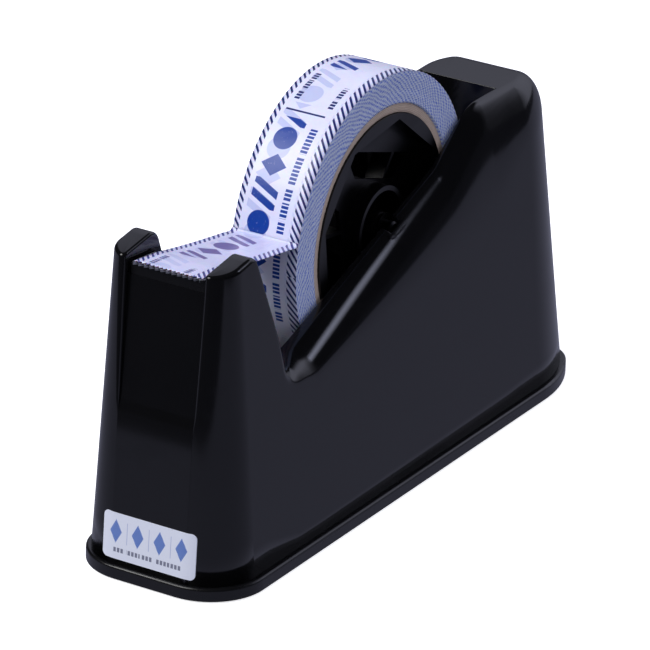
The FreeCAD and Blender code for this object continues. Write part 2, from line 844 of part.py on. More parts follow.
def hub_point(radius, angle):
    """Place at a radius and an angle about the axle, as a pair of sums."""
    across = math.cos(math.radians(angle))
    up = math.sin(math.radians(angle))
    y = f"axis_y+{radius}*{across:.6f}" if across >= 0 else f"axis_y-{radius}*{-across:.6f}"
    z = f"axis_z+{radius}*{up:.6f}" if up >= 0 else f"axis_z-{radius}*{-up:.6f}"
    return y, z


def hub_octagon(sketch, radius):
    step = 360 / HUB_SIDES
    polygon(sketch, [hub_point(radius, HUB_TURN + step * side) for side in range(HUB_SIDES)])


def hub_sector(sketch, inner, outer, angle, spread_inner, spread_outer):
    polygon(sketch, [
        hub_point(inner, angle - spread_inner),
        hub_point(outer, angle - spread_outer),
        hub_point(outer, angle + spread_outer),
        hub_point(inner, angle + spread_inner),
    ])


def make_hub(name, side):
    """Half of the drum that carries the core: rim, web, boss and sleeve."""
    body = new_body(name)
    left = side < 0
    sign = "-" if left else ""
    turn = LEFT_WINDOW_TURN if left else 0
    window_angles = [angle + turn for angle in WINDOW_ANGLES]

    def level(sketch_name, height):
        return new_sketch(body, f"{name}_{sketch_name}", "YZ_Plane", sign + height)

    rim = level("rim_outline", "hub_split")
    hub_octagon(rim, "hub_vertex")
    hub_octagon(rim, "hub_inner_vertex")
    pad(body, name + "_rim", rim, "hub_half-hub_split", reverse=left)
    flange = level("flange_outline", "hub_half")
    circle(flange, "axis_y", "axis_z", "flange_radius")
    hub_octagon(flange, "hub_inner_vertex")
    pad(body, name + "_flange", flange, "flange_thickness", reverse=not left)
    web = level("web_outline", "web_start")
    hub_octagon(web, "web_vertex")
    for angle in window_angles:
        hub_sector(web, "window_inner", "window_outer", angle, WINDOW_SPREAD_INNER, WINDOW_SPREAD_OUTER)
    pad(body, name + "_web", web, "web_thickness", reverse=left)
    drum = level("drum_outline", "web_start")
    circle(drum, "axis_y", "axis_z", "drum_outer")
    circle(drum, "axis_y", "axis_z", "drum_inner")
    pad(body, name + "_drum", drum, "hub_half-web_start", reverse=left)
    for number, angle in enumerate(window_angles, start=1):
        spine = level(f"spine_{number}_outline", "hub_split")
        hub_sector(spine, "spine_inner", "spine_outer", angle + SPINE_OFFSET, SPINE_TURN, SPINE_TURN)
        pad(body, f"{name}_spine_{number}", spine, "web_start+web_thickness-hub_split", reverse=left)
    collar = level("collar_outline", "hub_split")
    circle(collar, "axis_y", "axis_z", "drum_outer")
    circle(collar, "axis_y", "axis_z", "drum_inner")
    pad(body, name + "_collar", collar, "web_start-hub_split", reverse=left)
    sleeve = level("sleeve_outline", "hub_split")
    circle(sleeve, "axis_y", "axis_z", "sleeve_outer")
    pad(body, name + "_sleeve", sleeve, "sleeve_half-hub_split", reverse=left)
    bore = level("bore_outline", "hub_split")
    circle(bore, "axis_y", "axis_z", "axle_radius+axle_fit")
    pocket(body, name + "_bore", bore, "hub_half-hub_split", reverse=not left)
    return body


# ---------- tape and label ----------

def make_ring(name, outer, inner, half):
    body = new_body(name)
    outline = new_sketch(body, name + "_outline", "YZ_Plane")
    circle(outline, "axis_y", "axis_z", outer)
    circle(outline, "axis_y", "axis_z", inner)
    pad(body, name + "_ring", outline, half + "*2", middle=True)
    return body


def make_tail():
    """Free end of the tape, from the front of the roll to the blade."""
    body = new_body("tape_tail")
    outline = new_sketch(body, "tail_outline", "YZ_Plane")
    polygon(outline, [
        ("-tail_start_y", "tail_start_z"),
        ("-tail_bend_y", "tail_bend_z"),
        ("-tail_end_y", "tail_end_z"),
        ("-tail_end_y", "tail_end_z+tail_thickness"),
        ("-tail_bend_y", "tail_bend_z+tail_thickness"),
        ("-tail_start_y", "tail_start_z+tail_thickness"),
    ])
    pad(body, "tail_strip", outline, "tape_half*2", middle=True)
    return body


def make_label():
    """Plain label that follows the curve and the slope of the shell's front."""
    skin = new_body("label_skin")
    drafted_block(skin, "skin_block", "+label_thickness", "-label_thickness")
    window = new_body("label_window")
    outline = new_sketch(window, "label_outline", "XZ_Plane", "label_plane")
    polygon(outline, [
        ("-label_half", "label_low"),
        ("label_half", "label_low"),
        ("label_half", "label_high"),
        ("-label_half", "label_high"),
    ])
    slab = pad(window, "label_slab", outline, "label_reach")
    round_edges(window, "label_corners", slab, "label_round",
                lambda edge: abs(edge.tangentAt(edge.FirstParameter).y) > 0.99)
    shaped = doc.addObject("Part::Common", "label_shaped")
    shaped.Base = skin
    shaped.Tool = window
    return cut("label", shaped, doc.getObject("shell_outer"))


nodes = [
    make_shell(),
    make_base_plate(),
    make_pad(),
    make_ballast("ballast_front", "-ballast_front_y", "ballast_front_length", "ballast_front_height"),
    make_ballast("ballast_rear", "ballast_rear_y", "ballast_rear_length", "ballast_rear_height"),
    make_screws("base_screws", BOSS_PLACES),
    make_screws("ballast_screws", BALLAST_PLACES),
    make_holder(),
    make_holder_screws(),
    make_blade(),
    make_rivets(),
    make_axle(),
    make_clips(),
    make_washers(),
    make_hub("hub_right", 1),
    make_hub("hub_left", -1),
    make_ring("tape_core", "core_outer", "core_inner", "core_half"),
    make_ring("tape_roll", "roll_outer", "core_outer", "tape_half"),
    make_tail(),
    make_label(),
]
doc.recompute()

for item in doc.Objects:
    if "Invalid" in item.State or "Error" in item.State:
        raise RuntimeError(f"{item.Name} did not recompute: {item.State}")
for node in nodes:
    if node.Shape.isNull() or not node.Shape.isValid():
        raise RuntimeError(f"{node.Label} has no sound shape")

os.makedirs("parts", exist_ok=True)
for node in nodes:
    node.Shape.exportStep(f"parts/{node.Label}.step")
    box_now = node.Shape.optimalBoundingBox()
    print(f"{node.Label}: {len(node.Shape.Solids)} solid(s), {node.Shape.Volume / 1000:.2f} cm3, "
          f"x {box_now.XMin:.1f} {box_now.XMax:.1f}, y {box_now.YMin:.1f} {box_now.YMax:.1f}, "
          f"z {box_now.ZMin:.1f} {box_now.ZMax:.1f}")
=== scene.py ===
import math
import random

import bmesh
import bpy
from mathutils import Matrix, Vector


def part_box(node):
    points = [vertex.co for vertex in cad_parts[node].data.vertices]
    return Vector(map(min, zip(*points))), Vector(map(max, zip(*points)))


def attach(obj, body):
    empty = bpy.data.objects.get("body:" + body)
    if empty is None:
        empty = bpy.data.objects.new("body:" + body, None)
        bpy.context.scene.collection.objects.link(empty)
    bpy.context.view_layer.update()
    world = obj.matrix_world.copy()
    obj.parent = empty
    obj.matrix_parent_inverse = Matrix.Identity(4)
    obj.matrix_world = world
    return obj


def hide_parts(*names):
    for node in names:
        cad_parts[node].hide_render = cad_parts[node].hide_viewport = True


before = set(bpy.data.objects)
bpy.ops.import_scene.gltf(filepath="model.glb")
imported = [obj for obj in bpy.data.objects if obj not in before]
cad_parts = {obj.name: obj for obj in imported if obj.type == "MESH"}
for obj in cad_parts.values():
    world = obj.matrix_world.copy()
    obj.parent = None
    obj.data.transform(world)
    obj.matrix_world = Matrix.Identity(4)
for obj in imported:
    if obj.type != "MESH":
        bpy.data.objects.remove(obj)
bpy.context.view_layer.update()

# Looks of a bench tape dispenser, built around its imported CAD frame. Metres, +Z up.
# MM turns millimetres into metres. Print on the tape and label is abstract: bars, dots and rules.

MM = 0.001

# ---------- places, read from the frame ----------

axle_low, axle_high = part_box("axle")
AXIS_Y = (axle_low.y + axle_high.y) / 2
AXIS_Z = (axle_low.z + axle_high.z) / 2
roll_low, roll_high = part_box("tape_roll")
ROLL_RADIUS = (roll_high.z - roll_low.z) / 2
TAPE_HALF = roll_high.x
core_low, core_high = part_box("tape_core")
CORE_OUTER = (core_high.z - core_low.z) / 2
CORE_WALL = 3.3 * MM
CORE_INNER = CORE_OUTER - CORE_WALL
tail_low, tail_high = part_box("tape_tail")
label_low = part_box("label")[0]
blade_low, blade_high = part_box("cutter_blade")


# ---------- shader helpers ----------

class Field:
    """A number in a shader, with Python's operators standing for Math nodes."""

    def __init__(self, tree, socket):
        self.tree = tree
        self.socket = socket

    def math(self, operation, *others, clamp=False):
        node = self.tree.nodes.new("ShaderNodeMath")
        node.operation = operation
        node.use_clamp = clamp
        for slot, value in zip(node.inputs, (self,) + others):
            plug(self.tree, slot, value)
        return Field(self.tree, node.outputs[0])

    def __add__(self, other):
        return self.math("ADD", other)

    def __sub__(self, other):
        return self.math("SUBTRACT", other)

    def __mul__(self, other):
        return self.math("MULTIPLY", other)

    def __truediv__(self, other):
        return self.math("DIVIDE", other)

    def clamp(self):
        return self.math("ADD", 0.0, clamp=True)

    def repeat(self, pitch):
        return self.math("FLOORED_MODULO", pitch)

    def floor(self):
        return self.math("FLOOR")

    def size(self):
        return self.math("ABSOLUTE")

    def largest(self, other):
        return self.math("MAXIMUM", other)

    def within(self, low, high, soft=0.08):
        """1 between low and high, with edges that are soft over a short distance."""
        rise = ((self - low) / soft + 0.5).clamp()
        fall = ((self * -1.0 + high) / soft + 0.5).clamp()
        return rise * fall


def plug(tree, slot, value):
    """Link a field or a socket to a node's input, or set the input to a value."""
    if isinstance(value, Field):
        tree.links.new(value.socket, slot)
    elif isinstance(value, bpy.types.NodeSocket):
        tree.links.new(value, slot)
    elif isinstance(value, tuple) and len(value) == 3 and slot.type == "RGBA":
        slot.default_value = (*value, 1.0)
    else:
        slot.default_value = value


def srgb(red, green, blue):
    """Linear colour for the 0-255 values that a picture editor shows."""
    return tuple((part / 255 / 12.92) if part <= 10 else ((part / 255 + 0.055) / 1.055) ** 2.4
                 for part in (red, green, blue))


class Paint:
    """One procedural material, built node by node."""

    def __init__(self, name):
        self.material = bpy.data.materials.new(name)
        self.material.use_nodes = True
        self.tree = self.material.node_tree
        self.surface = self.tree.nodes["Principled BSDF"]
        self.coordinates = self.tree.nodes.new("ShaderNodeTexCoord")

    def node(self, kind, **inputs):
        """First output of a new node with these inputs."""
        made = self.tree.nodes.new("ShaderNode" + kind)
        for name, value in inputs.items():
            plug(self.tree, made.inputs[name.replace("_", " ")], value)
        return made.outputs[0]

    def place(self, scale=(1.0, 1.0, 1.0)):
        """Coordinates in millimetres in the CAD frame, stretched by scale."""
        size = tuple(part / MM for part in scale)
        return self.node("Mapping", Vector=self.coordinates.outputs["Object"], Scale=size)

    def print_place(self):
        """The two coordinates that the piece carries for its print."""
        layout = self.tree.nodes.new("ShaderNodeUVMap")
        layout.uv_map = "print"
        spot = self.node("SeparateXYZ", Vector=layout.outputs["UV"]).node
        return Field(self.tree, spot.outputs[0]), Field(self.tree, spot.outputs[1])

    def noise(self, size, detail=2.0, scale=(1.0, 1.0, 1.0), rough=0.5):
        """Noise from 0 to 1 whose blotches are about size millimetres across."""
        socket = self.node("TexNoise", Vector=self.place(scale), Scale=1.0 / size,
                           Detail=detail, Roughness=rough)
        return Field(self.tree, socket)

    def specks(self, spacing, share, size):
        """Rare round specks: 1 inside a few of the cells that are spacing apart."""
        near = self.tree.nodes.new("ShaderNodeTexVoronoi")
        plug(self.tree, near.inputs["Vector"], self.place())
        near.inputs["Scale"].default_value = 1.0 / spacing
        chance = self.node("SeparateColor", Color=near.outputs["Color"])
        picked = Field(self.tree, chance).math("LESS_THAN", share)
        return Field(self.tree, near.outputs["Distance"]).math("LESS_THAN", size / spacing) * picked

    def blend(self, share, first, second):
        mixed = self.tree.nodes.new("ShaderNodeMix")
        mixed.data_type = "RGBA"
        plug(self.tree, mixed.inputs["Factor"], share)
        plug(self.tree, mixed.inputs[6], first)
        plug(self.tree, mixed.inputs[7], second)
        return mixed.outputs[2]

    def set(self, **inputs):
        for name, value in inputs.items():
            plug(self.tree, self.surface.inputs[name.replace("_", " ")], value)

    def bump(self, height, depth):
        """Raise the surface by height times depth millimetres."""
        self.set(Normal=self.node("Bump", Strength=1.0, Distance=depth * MM, Height=height))


# ---------- materials ----------

def moulded_plastic(name, color, rough, grain, texture_depth):
    """Black moulded plastic: slightly uneven gloss, fine texture, rubbed spots and dust."""
    paint = Paint(name)
    cloud = paint.noise(26.0, detail=3.0)
    grain_field = paint.noise(grain, detail=3.0)
    rubbed = paint.noise(14.0, detail=5.0, scale=(1.0, 0.35, 1.3)).within(0.62, 0.8, 0.12)
    dust = paint.specks(9.0, 0.045, 0.15).largest(paint.specks(4.3, 0.012, 0.1))
    faded = tuple(part * 1.3 + 0.0006 for part in color)
    base = paint.blend(cloud, color, faded)
    dusty = paint.blend(dust * 0.45, base, srgb(190, 190, 188))
    paint.set(
        Base_Color=dusty,
        Roughness=(cloud * 0.05) + (rubbed * 0.07) + (dust * 0.3) + (rough - 0.03),
        IOR=1.5,
    )
    paint.bump(grain_field + (paint.noise(1.4, detail=1.0) * 1.6), texture_depth)
    return paint.material


def shell_plastic():
    return moulded_plastic("moulded_black_gloss", srgb(10, 10, 11), 0.12, 0.45, 0.002)


def base_plastic():
    return moulded_plastic("moulded_black_rim", srgb(13, 13, 14), 0.25, 0.35, 0.005)


def holder_plastic():
    return moulded_plastic("moulded_black_holder", srgb(10, 10, 10), 0.28, 0.3, 0.006)


def hub_plastic():
    return moulded_plastic("moulded_black_hub", srgb(3, 3, 4), 0.32, 0.3, 0.005)


def bare_metal(name, color, rough, lines):
    """Steel or aluminium with fine drawn lines and a little tarnish."""
    paint = Paint(name)
    drawn = paint.noise(0.35, detail=3.0, scale=lines)
    stain = paint.noise(3.0, detail=4.0)
    tarnished = tuple(part * 0.75 for part in color)
    paint.set(
        Base_Color=paint.blend(stain, color, tarnished),
        Metallic=1.0,
        Roughness=(drawn * 0.16) + (stain * 0.08) + (rough - 0.1),
    )
    paint.bump(drawn, 0.01)
    return paint.material


def cast_iron():
    paint = Paint("cast_iron_ballast")
    grain_field = paint.noise(0.9, detail=5.0, rough=0.65)
    rust = paint.noise(9.0, detail=4.0).within(0.56, 0.8, 0.1)
    gray = paint.blend(grain_field, srgb(62, 62, 64), srgb(96, 95, 94))
    paint.set(Base_Color=paint.blend(rust * 0.5, gray, srgb(104, 70, 48)), Metallic=0.5,
              Roughness=(grain_field * 0.2) + 0.55)
    paint.bump(grain_field, 0.35)
    return paint.material


def foam():
    paint = Paint("closed_cell_foam")
    cells = paint.noise(0.7, detail=3.0, rough=0.7)
    paint.set(Base_Color=paint.blend(cells, srgb(24, 24, 25), srgb(44, 44, 46)), Roughness=0.92)
    paint.bump(cells, 0.2)
    return paint.material


PLY_THICKNESS = 0.55


def cardboard():
    """Wound board: rings of plies on the end, a spiral seam and fibres on the faces."""
    paint = Paint("wound_board")
    spot = paint.node("SeparateXYZ", Vector=paint.place())
    across = Field(paint.tree, spot.node.outputs[1]) - AXIS_Y / MM
    height = Field(paint.tree, spot.node.outputs[2]) - AXIS_Z / MM
    radius = (across * across + height * height).math("SQRT")
    ply = (radius.repeat(PLY_THICKNESS) / PLY_THICKNESS).within(0.0, 0.3, 0.25)
    fibre = paint.noise(0.5, detail=5.0, rough=0.7)
    blotch = paint.noise(7.0, detail=3.0)
    light = paint.blend(fibre, srgb(222, 194, 166), srgb(250, 234, 214))
    shaded = paint.blend(ply * 0.4, light, srgb(146, 120, 100))
    paint.set(Base_Color=paint.blend(blotch * 0.35, shaded, srgb(150, 122, 98)), Roughness=0.85)
    paint.bump(fibre + (ply * -0.8), 0.12)
    return paint.material


# Print on the tape: distances are millimetres along the tape and across it.
PRINT_REPEAT = 109.1
DASH_PITCH = 2.72
MOTIF_PITCH = 9.6
MOTIF_HALF = 3.8
MOTIF_MIDDLE = -3.5
MOTIF_REACH = 4.7
UNDER_SHIFT = (61.3, 0.7)


def film_marks(along, across):
    """Masks of the navy marks, of the royal blue marks, and of an unbroken row of motifs."""
    place = along.repeat(PRINT_REPEAT)
    slant = (along + (across * 1.2)).repeat(DASH_PITCH)
    dashes = slant.within(0.0, 1.22, 0.2)
    sides = across.within(-13.0, -10.3).largest(across.within(8.8, 13.0))
    rule = place.within(44.0, 44.7) * across.within(-8.8, 5.8)
    captions = greeked(place - 49.0, across + 8.6, 16.0, 1.9).largest(
        greeked(place - 48.0, across - 4.6, 11.0, 1.9))
    navy = (dashes * sides).largest(rule).largest(captions)
    local = place.repeat(MOTIF_PITCH) - MOTIF_PITCH / 2
    kind = (place / MOTIF_PITCH).floor().repeat(3.0)
    sidewise = across - MOTIF_MIDDLE
    disc = (local * local + sidewise * sidewise).math("SQRT").within(-1.0, 4.1, 0.2)
    lean = local + (sidewise * 0.45)
    bars = lean.within(-3.4, -0.9, 0.2).largest(lean.within(0.9, 3.4, 0.2))
    bars = bars * sidewise.within(-MOTIF_REACH, MOTIF_REACH)
    drop = ((local.size() / MOTIF_HALF) + (sidewise.size() / MOTIF_REACH)).within(-1.0, 1.0, 0.05)
    motifs = (disc * kind.within(-0.5, 0.5, 0.01)).largest(
        bars * kind.within(0.5, 1.5, 0.01)).largest(
        drop * kind.within(1.5, 2.5, 0.01))
    solid_marks = motifs * place.within(1.0, 41.5).largest(place.within(70.0, 106.0))
    royal = solid_marks.largest(greeked(place - 3.0, across - 3.6, 36.0, 2.6))
    return navy, royal, motifs


def greeked(along, across, length, height):
    """A row of short bars of uneven length that stands where small captions would be."""
    word = along.repeat(5.3).within(0.0, 4.1, 0.15).largest(along.repeat(3.7).within(1.2, 2.6, 0.15))
    cuts = along.repeat(1.35).within(0.0, 0.95, 0.15)
    return word * cuts * along.within(0.0, length) * across.within(0.0, height)


def tape_film(name, tint, navy_ink, royal_ink, ghost_strength):
    """White printed film, through which the print of the turn below shows faintly."""
    paint = Paint(name)
    along, across = paint.print_place()
    navy, royal, _ = film_marks(along, across)
    under_navy, _, under_motifs = film_marks(along + UNDER_SHIFT[0], across + UNDER_SHIFT[1])
    ghost = (under_motifs * across.within(-9.5, 8.0)).largest(under_navy * 0.5)
    mottle = paint.noise(5.0, detail=4.0, rough=0.6)
    wear = paint.noise(1.1, detail=4.0, rough=0.7).within(0.66, 0.8, 0.08)
    film = paint.blend(mottle, tint, tuple(part * 0.88 for part in tint[:2]) + (tint[2],))
    film = paint.blend(ghost * ghost_strength, film, srgb(150, 168, 218))
    film = paint.blend(royal * ((wear * -0.25) + 1.0), film, royal_ink)
    film = paint.blend(navy * ((wear * -0.25) + 1.0), film, navy_ink)
    paint.set(Base_Color=film, Roughness=(mottle * 0.15) + 0.24, IOR=1.45,
              Subsurface_Weight=0.2, Subsurface_Scale=0.5 * MM)
    paint.bump(paint.noise(3.5, detail=2.0) + (navy * 0.05), 0.12)
    return paint.material


LAYER_PITCH = 0.62
LAYER_STAGGER = 0.38


def wound_edges():
    """The side of the roll: edges of many turns, each with its own ticks of print, and painted shade in
    the grooves between the turns.
    """
    paint = Paint("wound_film_edges")
    turn, radius = paint.print_place()
    wander = paint.noise(9.0, detail=3.0) * 3.0
    layer = ((radius + (paint.noise(20.0) * 0.8)) / LAYER_PITCH).floor()
    phase = (turn * (ROLL_RADIUS / MM) / DASH_PITCH) + (layer * LAYER_STAGGER) + wander
    ticks = phase.repeat(1.0).within(0.05, 0.5, 0.25)
    weave = paint.noise(0.9, detail=4.0, rough=0.7)
    strands = paint.noise(0.55, detail=2.0).within(0.5, 0.9, 0.2)
    groove_and_shade = (radius / LAYER_PITCH).repeat(1.0).within(0.0, 0.22, 0.2)
    pale = paint.blend(weave, srgb(244, 249, 255), srgb(196, 216, 252))
    inked = paint.blend(ticks * ((weave * 0.5) + 0.6), pale, srgb(40, 104, 226))
    flecked = paint.blend(strands * 0.45, inked, srgb(240, 245, 255))
    # Painted shade: the grooves between the turns are darkened towards blue grey, standing in for shade
    # falling into them; the same mask also sinks them as a bump.
    shaded = paint.blend(groove_and_shade * 0.2, flecked, srgb(100, 126, 196))
    paint.set(Base_Color=shaded, Roughness=0.5)
    paint.bump(weave + (groove_and_shade * -0.8), 0.1)
    return paint.material


LOZENGE_PITCH = 8.2


def label_film():
    """White label with four plain blue lozenges, thin rules and a row of short bars."""
    paint = Paint("coated_label")
    across, height = paint.print_place()
    local = (across + 2 * LOZENGE_PITCH).repeat(LOZENGE_PITCH) - LOZENGE_PITCH / 2
    lozenge = (local.size() / 0.55 + (height - 9.4).size()).within(-1.0, 4.0, 0.3)
    hatch = (local + height).repeat(1.0).within(0.0, 0.55, 0.2)
    inside = across.within(-16.4, 16.4)
    rules = (across + 3 * LOZENGE_PITCH).repeat(LOZENGE_PITCH).within(0.0, 0.22, 0.1)
    rules = rules * height.within(5.6, 13.0) * across.within(-9.0, 9.0)
    words = greeked(across + 13.0, height - 2.4, 26.0, 1.5)
    paper = paint.noise(0.6, detail=3.0)
    face = paint.blend(paper, srgb(246, 249, 255), srgb(238, 243, 255))
    face = paint.blend(rules * 0.6, face, srgb(120, 140, 200))
    face = paint.blend(lozenge * inside * ((hatch * 0.3) + 0.7), face, srgb(62, 112, 196))
    face = paint.blend(words * 0.8, face, srgb(70, 74, 104))
    paint.set(Base_Color=face, Roughness=(paper * 0.1) + 0.3)
    paint.bump(paper, 0.01)
    return paint.material


# ---------- mesh helpers ----------

def new_mesh(name, points, faces, material):
    mesh = bpy.data.meshes.new(name)
    mesh.from_pydata([tuple(point) for point in points], [], faces)
    mesh.validate()
    mesh.materials.append(material)
    for face in mesh.polygons:
        face.use_smooth = True
    piece = bpy.data.objects.new(name, mesh)
    bpy.context.scene.collection.objects.link(piece)
    return piece


def about_axle(radius, angle):
    """Place at a radius and an angle over the front (-Y) direction, about the axle."""
    return (AXIS_Y - radius * math.cos(angle), AXIS_Z + radius * math.sin(angle))


# ---------- shell ----------

# Plan outline of the shell in millimetres: size at the foot, and its loss per millimetre of height.
shell_low, shell_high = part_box("shell")
SHELL_FOOT = shell_low.z / MM
SHELL_HALF = (shell_high.x / MM, 0.065)
SHELL_FRONT = (shell_low.y / MM, -0.062)
SHELL_REAR = (shell_high.y / MM, 0.1705)
NOSE_ROUND = (16.8, 0.068)
SHOULDER_ROUND = (50.0, 0.196)
CORNER_ROUND = (12.0, 0.0268)
REAR_FLAT = (12.0, 0.0089)
DECK = shell_high.z / MM

# Crest line seen from the side, as (y, z, rounding): horns, notch, rail, hump and deck.
CREST_CORNERS = (
    (-125.0, 104.0, 0.0),
    (-84.1, 110.3, 4.2),
    (-66.7, 62.9, 5.2),
    (34.0, 98.3, 16.0),
    (57.5, DECK, 15.0),
    (130.0, DECK, 0.0),
)
CREST_STEP = 2.2
WELL_HALF = 14.0
WELL_RADIUS = 67.9
WELL_Y, WELL_Z = AXIS_Y / MM, AXIS_Z / MM
WELL_END = WELL_Y + WELL_RADIUS
SADDLE_HALF = 3.08
SADDLE_DEPTH = 17.6
SHELL_WALL = 2.2

# Recessed panel between the horns: it starts with a soft step and gets deeper towards the top.
PANEL_FOOT, PANEL_STEP, PANEL_TOP = 54.5, 62.0, 100.8
PANEL_SHALLOW, PANEL_DEEP = 1.4, 3.6
HORN_SPREAD = 0.0114
CORNER_SMALLEST, CORNER_GROWTH, CORNER_LARGEST = 1.0, 0.05, 2.7
CORNER_SPAN = 0.93
SPINE_X = 18.4

# Rows of the shell's grid: up the wall, over the soft shoulder and in to the inner edge.
PANEL_LEVELS = (SHELL_FOOT, 18.0, 31.0, 43.0, PANEL_FOOT, 56.0, 58.0, 60.0, PANEL_STEP, 80.0, PANEL_TOP)
TOP_LEVEL = len(PANEL_LEVELS) - 1
LOW_ROW = len(PANEL_LEVELS)
SADDLE_STEPS, SHOULDER_STEPS = 9, 14
SADDLE_ROW = LOW_ROW + SADDLE_STEPS
SHOULDER_SPLIT = 0.62
FRONT_FILLET, HORN_FILLET, SLIM_FILLET, INNER_FILLET = 1.0, 1.6, 1.4, 1.0
NOTCH_FILLET = 4.6
SHOULDER_EDGE = 14.9
SHOULDER_FOOT, SHOULDER_CLIMB, SHOULDER_LIFT = 66.3, 0.165, 18.0
SHOULDER_WEIGHT = 0.72
RAIL_LEAN = 3.6
REAR_ROUND = 9.0
EDGE_BEVEL = 0.6
SHARP_TURN = 0.9
MERGE_DISTANCE = 0.002 * MM

# Runs along the dispenser, from and to, over which the crest's outer edge changes its shape.
PEAK_SLIMS = (-92.0, -84.0)
NOTCH_WIDENS = (-74.0, -64.0)
SHOULDER_STARTS = (-66.0, -54.0)
RIM_SOFTENS = (-40.0, 0.0)
SADDLE_NEARS = (-40.0, -20.0)
LEAN_ENDS = (25.0, 80.0)
SHOULDER_LIFTS = (55.0, 95.0)


def ease(value, low, high):
    """0 below low, 1 above high, and an S-curve between them."""
    part = min(1.0, max(0.0, (value - low) / (high - low)))
    return part * part * (3.0 - 2.0 * part)


def blend(low, high, share):
    """Value between two numbers or two vectors."""
    return low + (high - low) * share


def tapered(size, z):
    """An outline size at height z, from its size at the foot and its loss per millimetre."""
    return size[0] - size[1] * (z - SHELL_FOOT)


def conic(start, corner, end, share):
    """Elliptical arc from start to end whose tangents meet at corner."""
    a, b, c = (1 - share) ** 2, 2 * SHOULDER_WEIGHT * share * (1 - share), share * share
    return (start * a + corner * b + end * c) / (a + b + c)


def root(gap, low, high):
    """Place between low and high where gap changes its sign."""
    rising = gap(high) > 0
    for _ in range(40):
        middle = (low + high) / 2
        if (gap(middle) > 0) == rising:
            high = middle
        else:
            low = middle
    return (low + high) / 2


def horn_side(z):
    """Distance of a horn's inner side from the middle plane."""
    return WELL_HALF + HORN_SPREAD * max(0.0, z - PANEL_FOOT)


def panel_depth(z):
    """How far the panel between the horns lies behind the front wall."""
    rise = PANEL_SHALLOW * ease(z, PANEL_FOOT, PANEL_STEP)
    return rise + (PANEL_DEEP - PANEL_SHALLOW) * max(0.0, z - PANEL_STEP) / (PANEL_TOP - PANEL_STEP)


def on_nose(angle, z):
    """Point on the rounded vertical edge of the front, by its direction in plan."""
    half, nose = tapered(SHELL_HALF, z), tapered(NOSE_ROUND, z)
    middle_y = tapered(SHELL_FRONT, z) + nose
    return Vector((half - nose + nose * math.cos(angle), middle_y + nose * math.sin(angle), z))


def horn_corner(z):
    """Start, corner and end of the rounding between a horn's inner side and its front."""
    grown = CORNER_SMALLEST + CORNER_GROWTH * max(0.0, z - PANEL_FOOT)
    size = min(0.8 * panel_depth(z), grown, CORNER_LARGEST)
    half, nose = tapered(SHELL_HALF, z), tapered(NOSE_ROUND, z)
    turn = -math.acos((horn_side(z) + CORNER_SPAN * size - half + nose) / nose)
    end = on_nose(turn, z)
    corner = end + Vector((math.sin(turn), -math.cos(turn), 0.0)) * (
        (horn_side(z) - end.x) / math.sin(turn))
    start = corner + Vector((0.0, (corner - end).length, 0.0))
    return start, corner, end, turn


def on_outline(place, z):
    """Wall point: -1-0 horn corner, 0-1 nose, 1-2 flank, 2-3 shoulder, 3-4 rear corner, 4-5 rear."""
    if place < 1:
        start, corner, end, turn = horn_corner(z)
        return conic(start, corner, end, place + 1) if place < 0 else on_nose(turn * (1 - place), z)
    half, bow, tight = tapered(SHELL_HALF, z), tapered(SHOULDER_ROUND, z), tapered(CORNER_ROUND, z)
    flat, rear = tapered(REAR_FLAT, z), tapered(SHELL_REAR, z)
    turn = math.acos((flat - half + bow) / (bow - tight))
    bow_y = rear - tight - (bow - tight) * math.sin(turn)
    if place < 2:
        return Vector((half, blend(on_nose(0.0, z).y, bow_y, place - 1), z))
    if place < 3:
        angle = turn * (place - 2)
        return Vector((half - bow + bow * math.cos(angle), bow_y + bow * math.sin(angle), z))
    if place < 4:
        angle = blend(turn, math.pi / 2, place - 3)
        return Vector((flat + tight * math.cos(angle), rear - tight + tight * math.sin(angle), z))
    return Vector((flat * (5 - place), rear, z))


def rounded_line(corners, step):
    """Points (y, z) along straight runs joined by arcs, about step apart."""
    points = [Vector(corners[0][:2])]
    for before, here, after in zip(corners, corners[1:], corners[2:]):
        corner, radius = Vector(here[:2]), here[2]
        back = (Vector(before[:2]) - corner).normalized()
        ahead = (Vector(after[:2]) - corner).normalized()
        half_angle = back.angle(ahead) / 2
        start = corner + back * (radius / math.tan(half_angle))
        end = corner + ahead * (radius / math.tan(half_angle))
        centre = corner + (back + ahead).normalized() * (radius / math.sin(half_angle))
        first = points[-1]
        count = max(2, int((start - first).length / step))
        points += [first.lerp(start, number / count) for number in range(1, count + 1)]
        count = max(8, int((math.pi - 2 * half_angle) * radius / 0.8))
        first_spoke, last_spoke = (start - centre).normalized(), (end - centre).normalized()
        points += [centre + first_spoke.slerp(last_spoke, number / count) * radius
                   for number in range(1, count + 1)]
    points.append(Vector(corners[-1][:2]))
    return points


CREST = rounded_line(CREST_CORNERS, CREST_STEP)


def crest_at(y):
    """Height of the crest line and its slope angle at a place along the dispenser."""
    for low, high in zip(CREST, CREST[1:]):
        if low.x <= y <= high.x:
            share = (y - low.x) / (high.x - low.x)
            return blend(low.y, high.y, share), math.atan2(high.y - low.y, high.x - low.x)
    return DECK, 0.0


def on_crest(x, y):
    return Vector((x, y, crest_at(y)[0]))


def well_floor(y):
    return WELL_Z - math.sqrt(max(0.0, WELL_RADIUS ** 2 - (y - WELL_Y) ** 2))


def saddle_floor(y):
    return WELL_Z - math.sqrt(max(0.0, SADDLE_HALF ** 2 - (y - WELL_Y) ** 2))


def shoulder_foot(y):
    """Height of the lower edge of the rail's soft shoulder on the flank."""
    return SHOULDER_FOOT + SHOULDER_CLIMB * y + SHOULDER_LIFT * ease(y, *SHOULDER_LIFTS)


def soft_crest(y):
    """Crest height averaged over a span: the outer side of the shoulder has no tight bends."""
    span = range(-18, 19, 4)
    return sum(crest_at(y + offset)[0] for offset in span) / len(span)


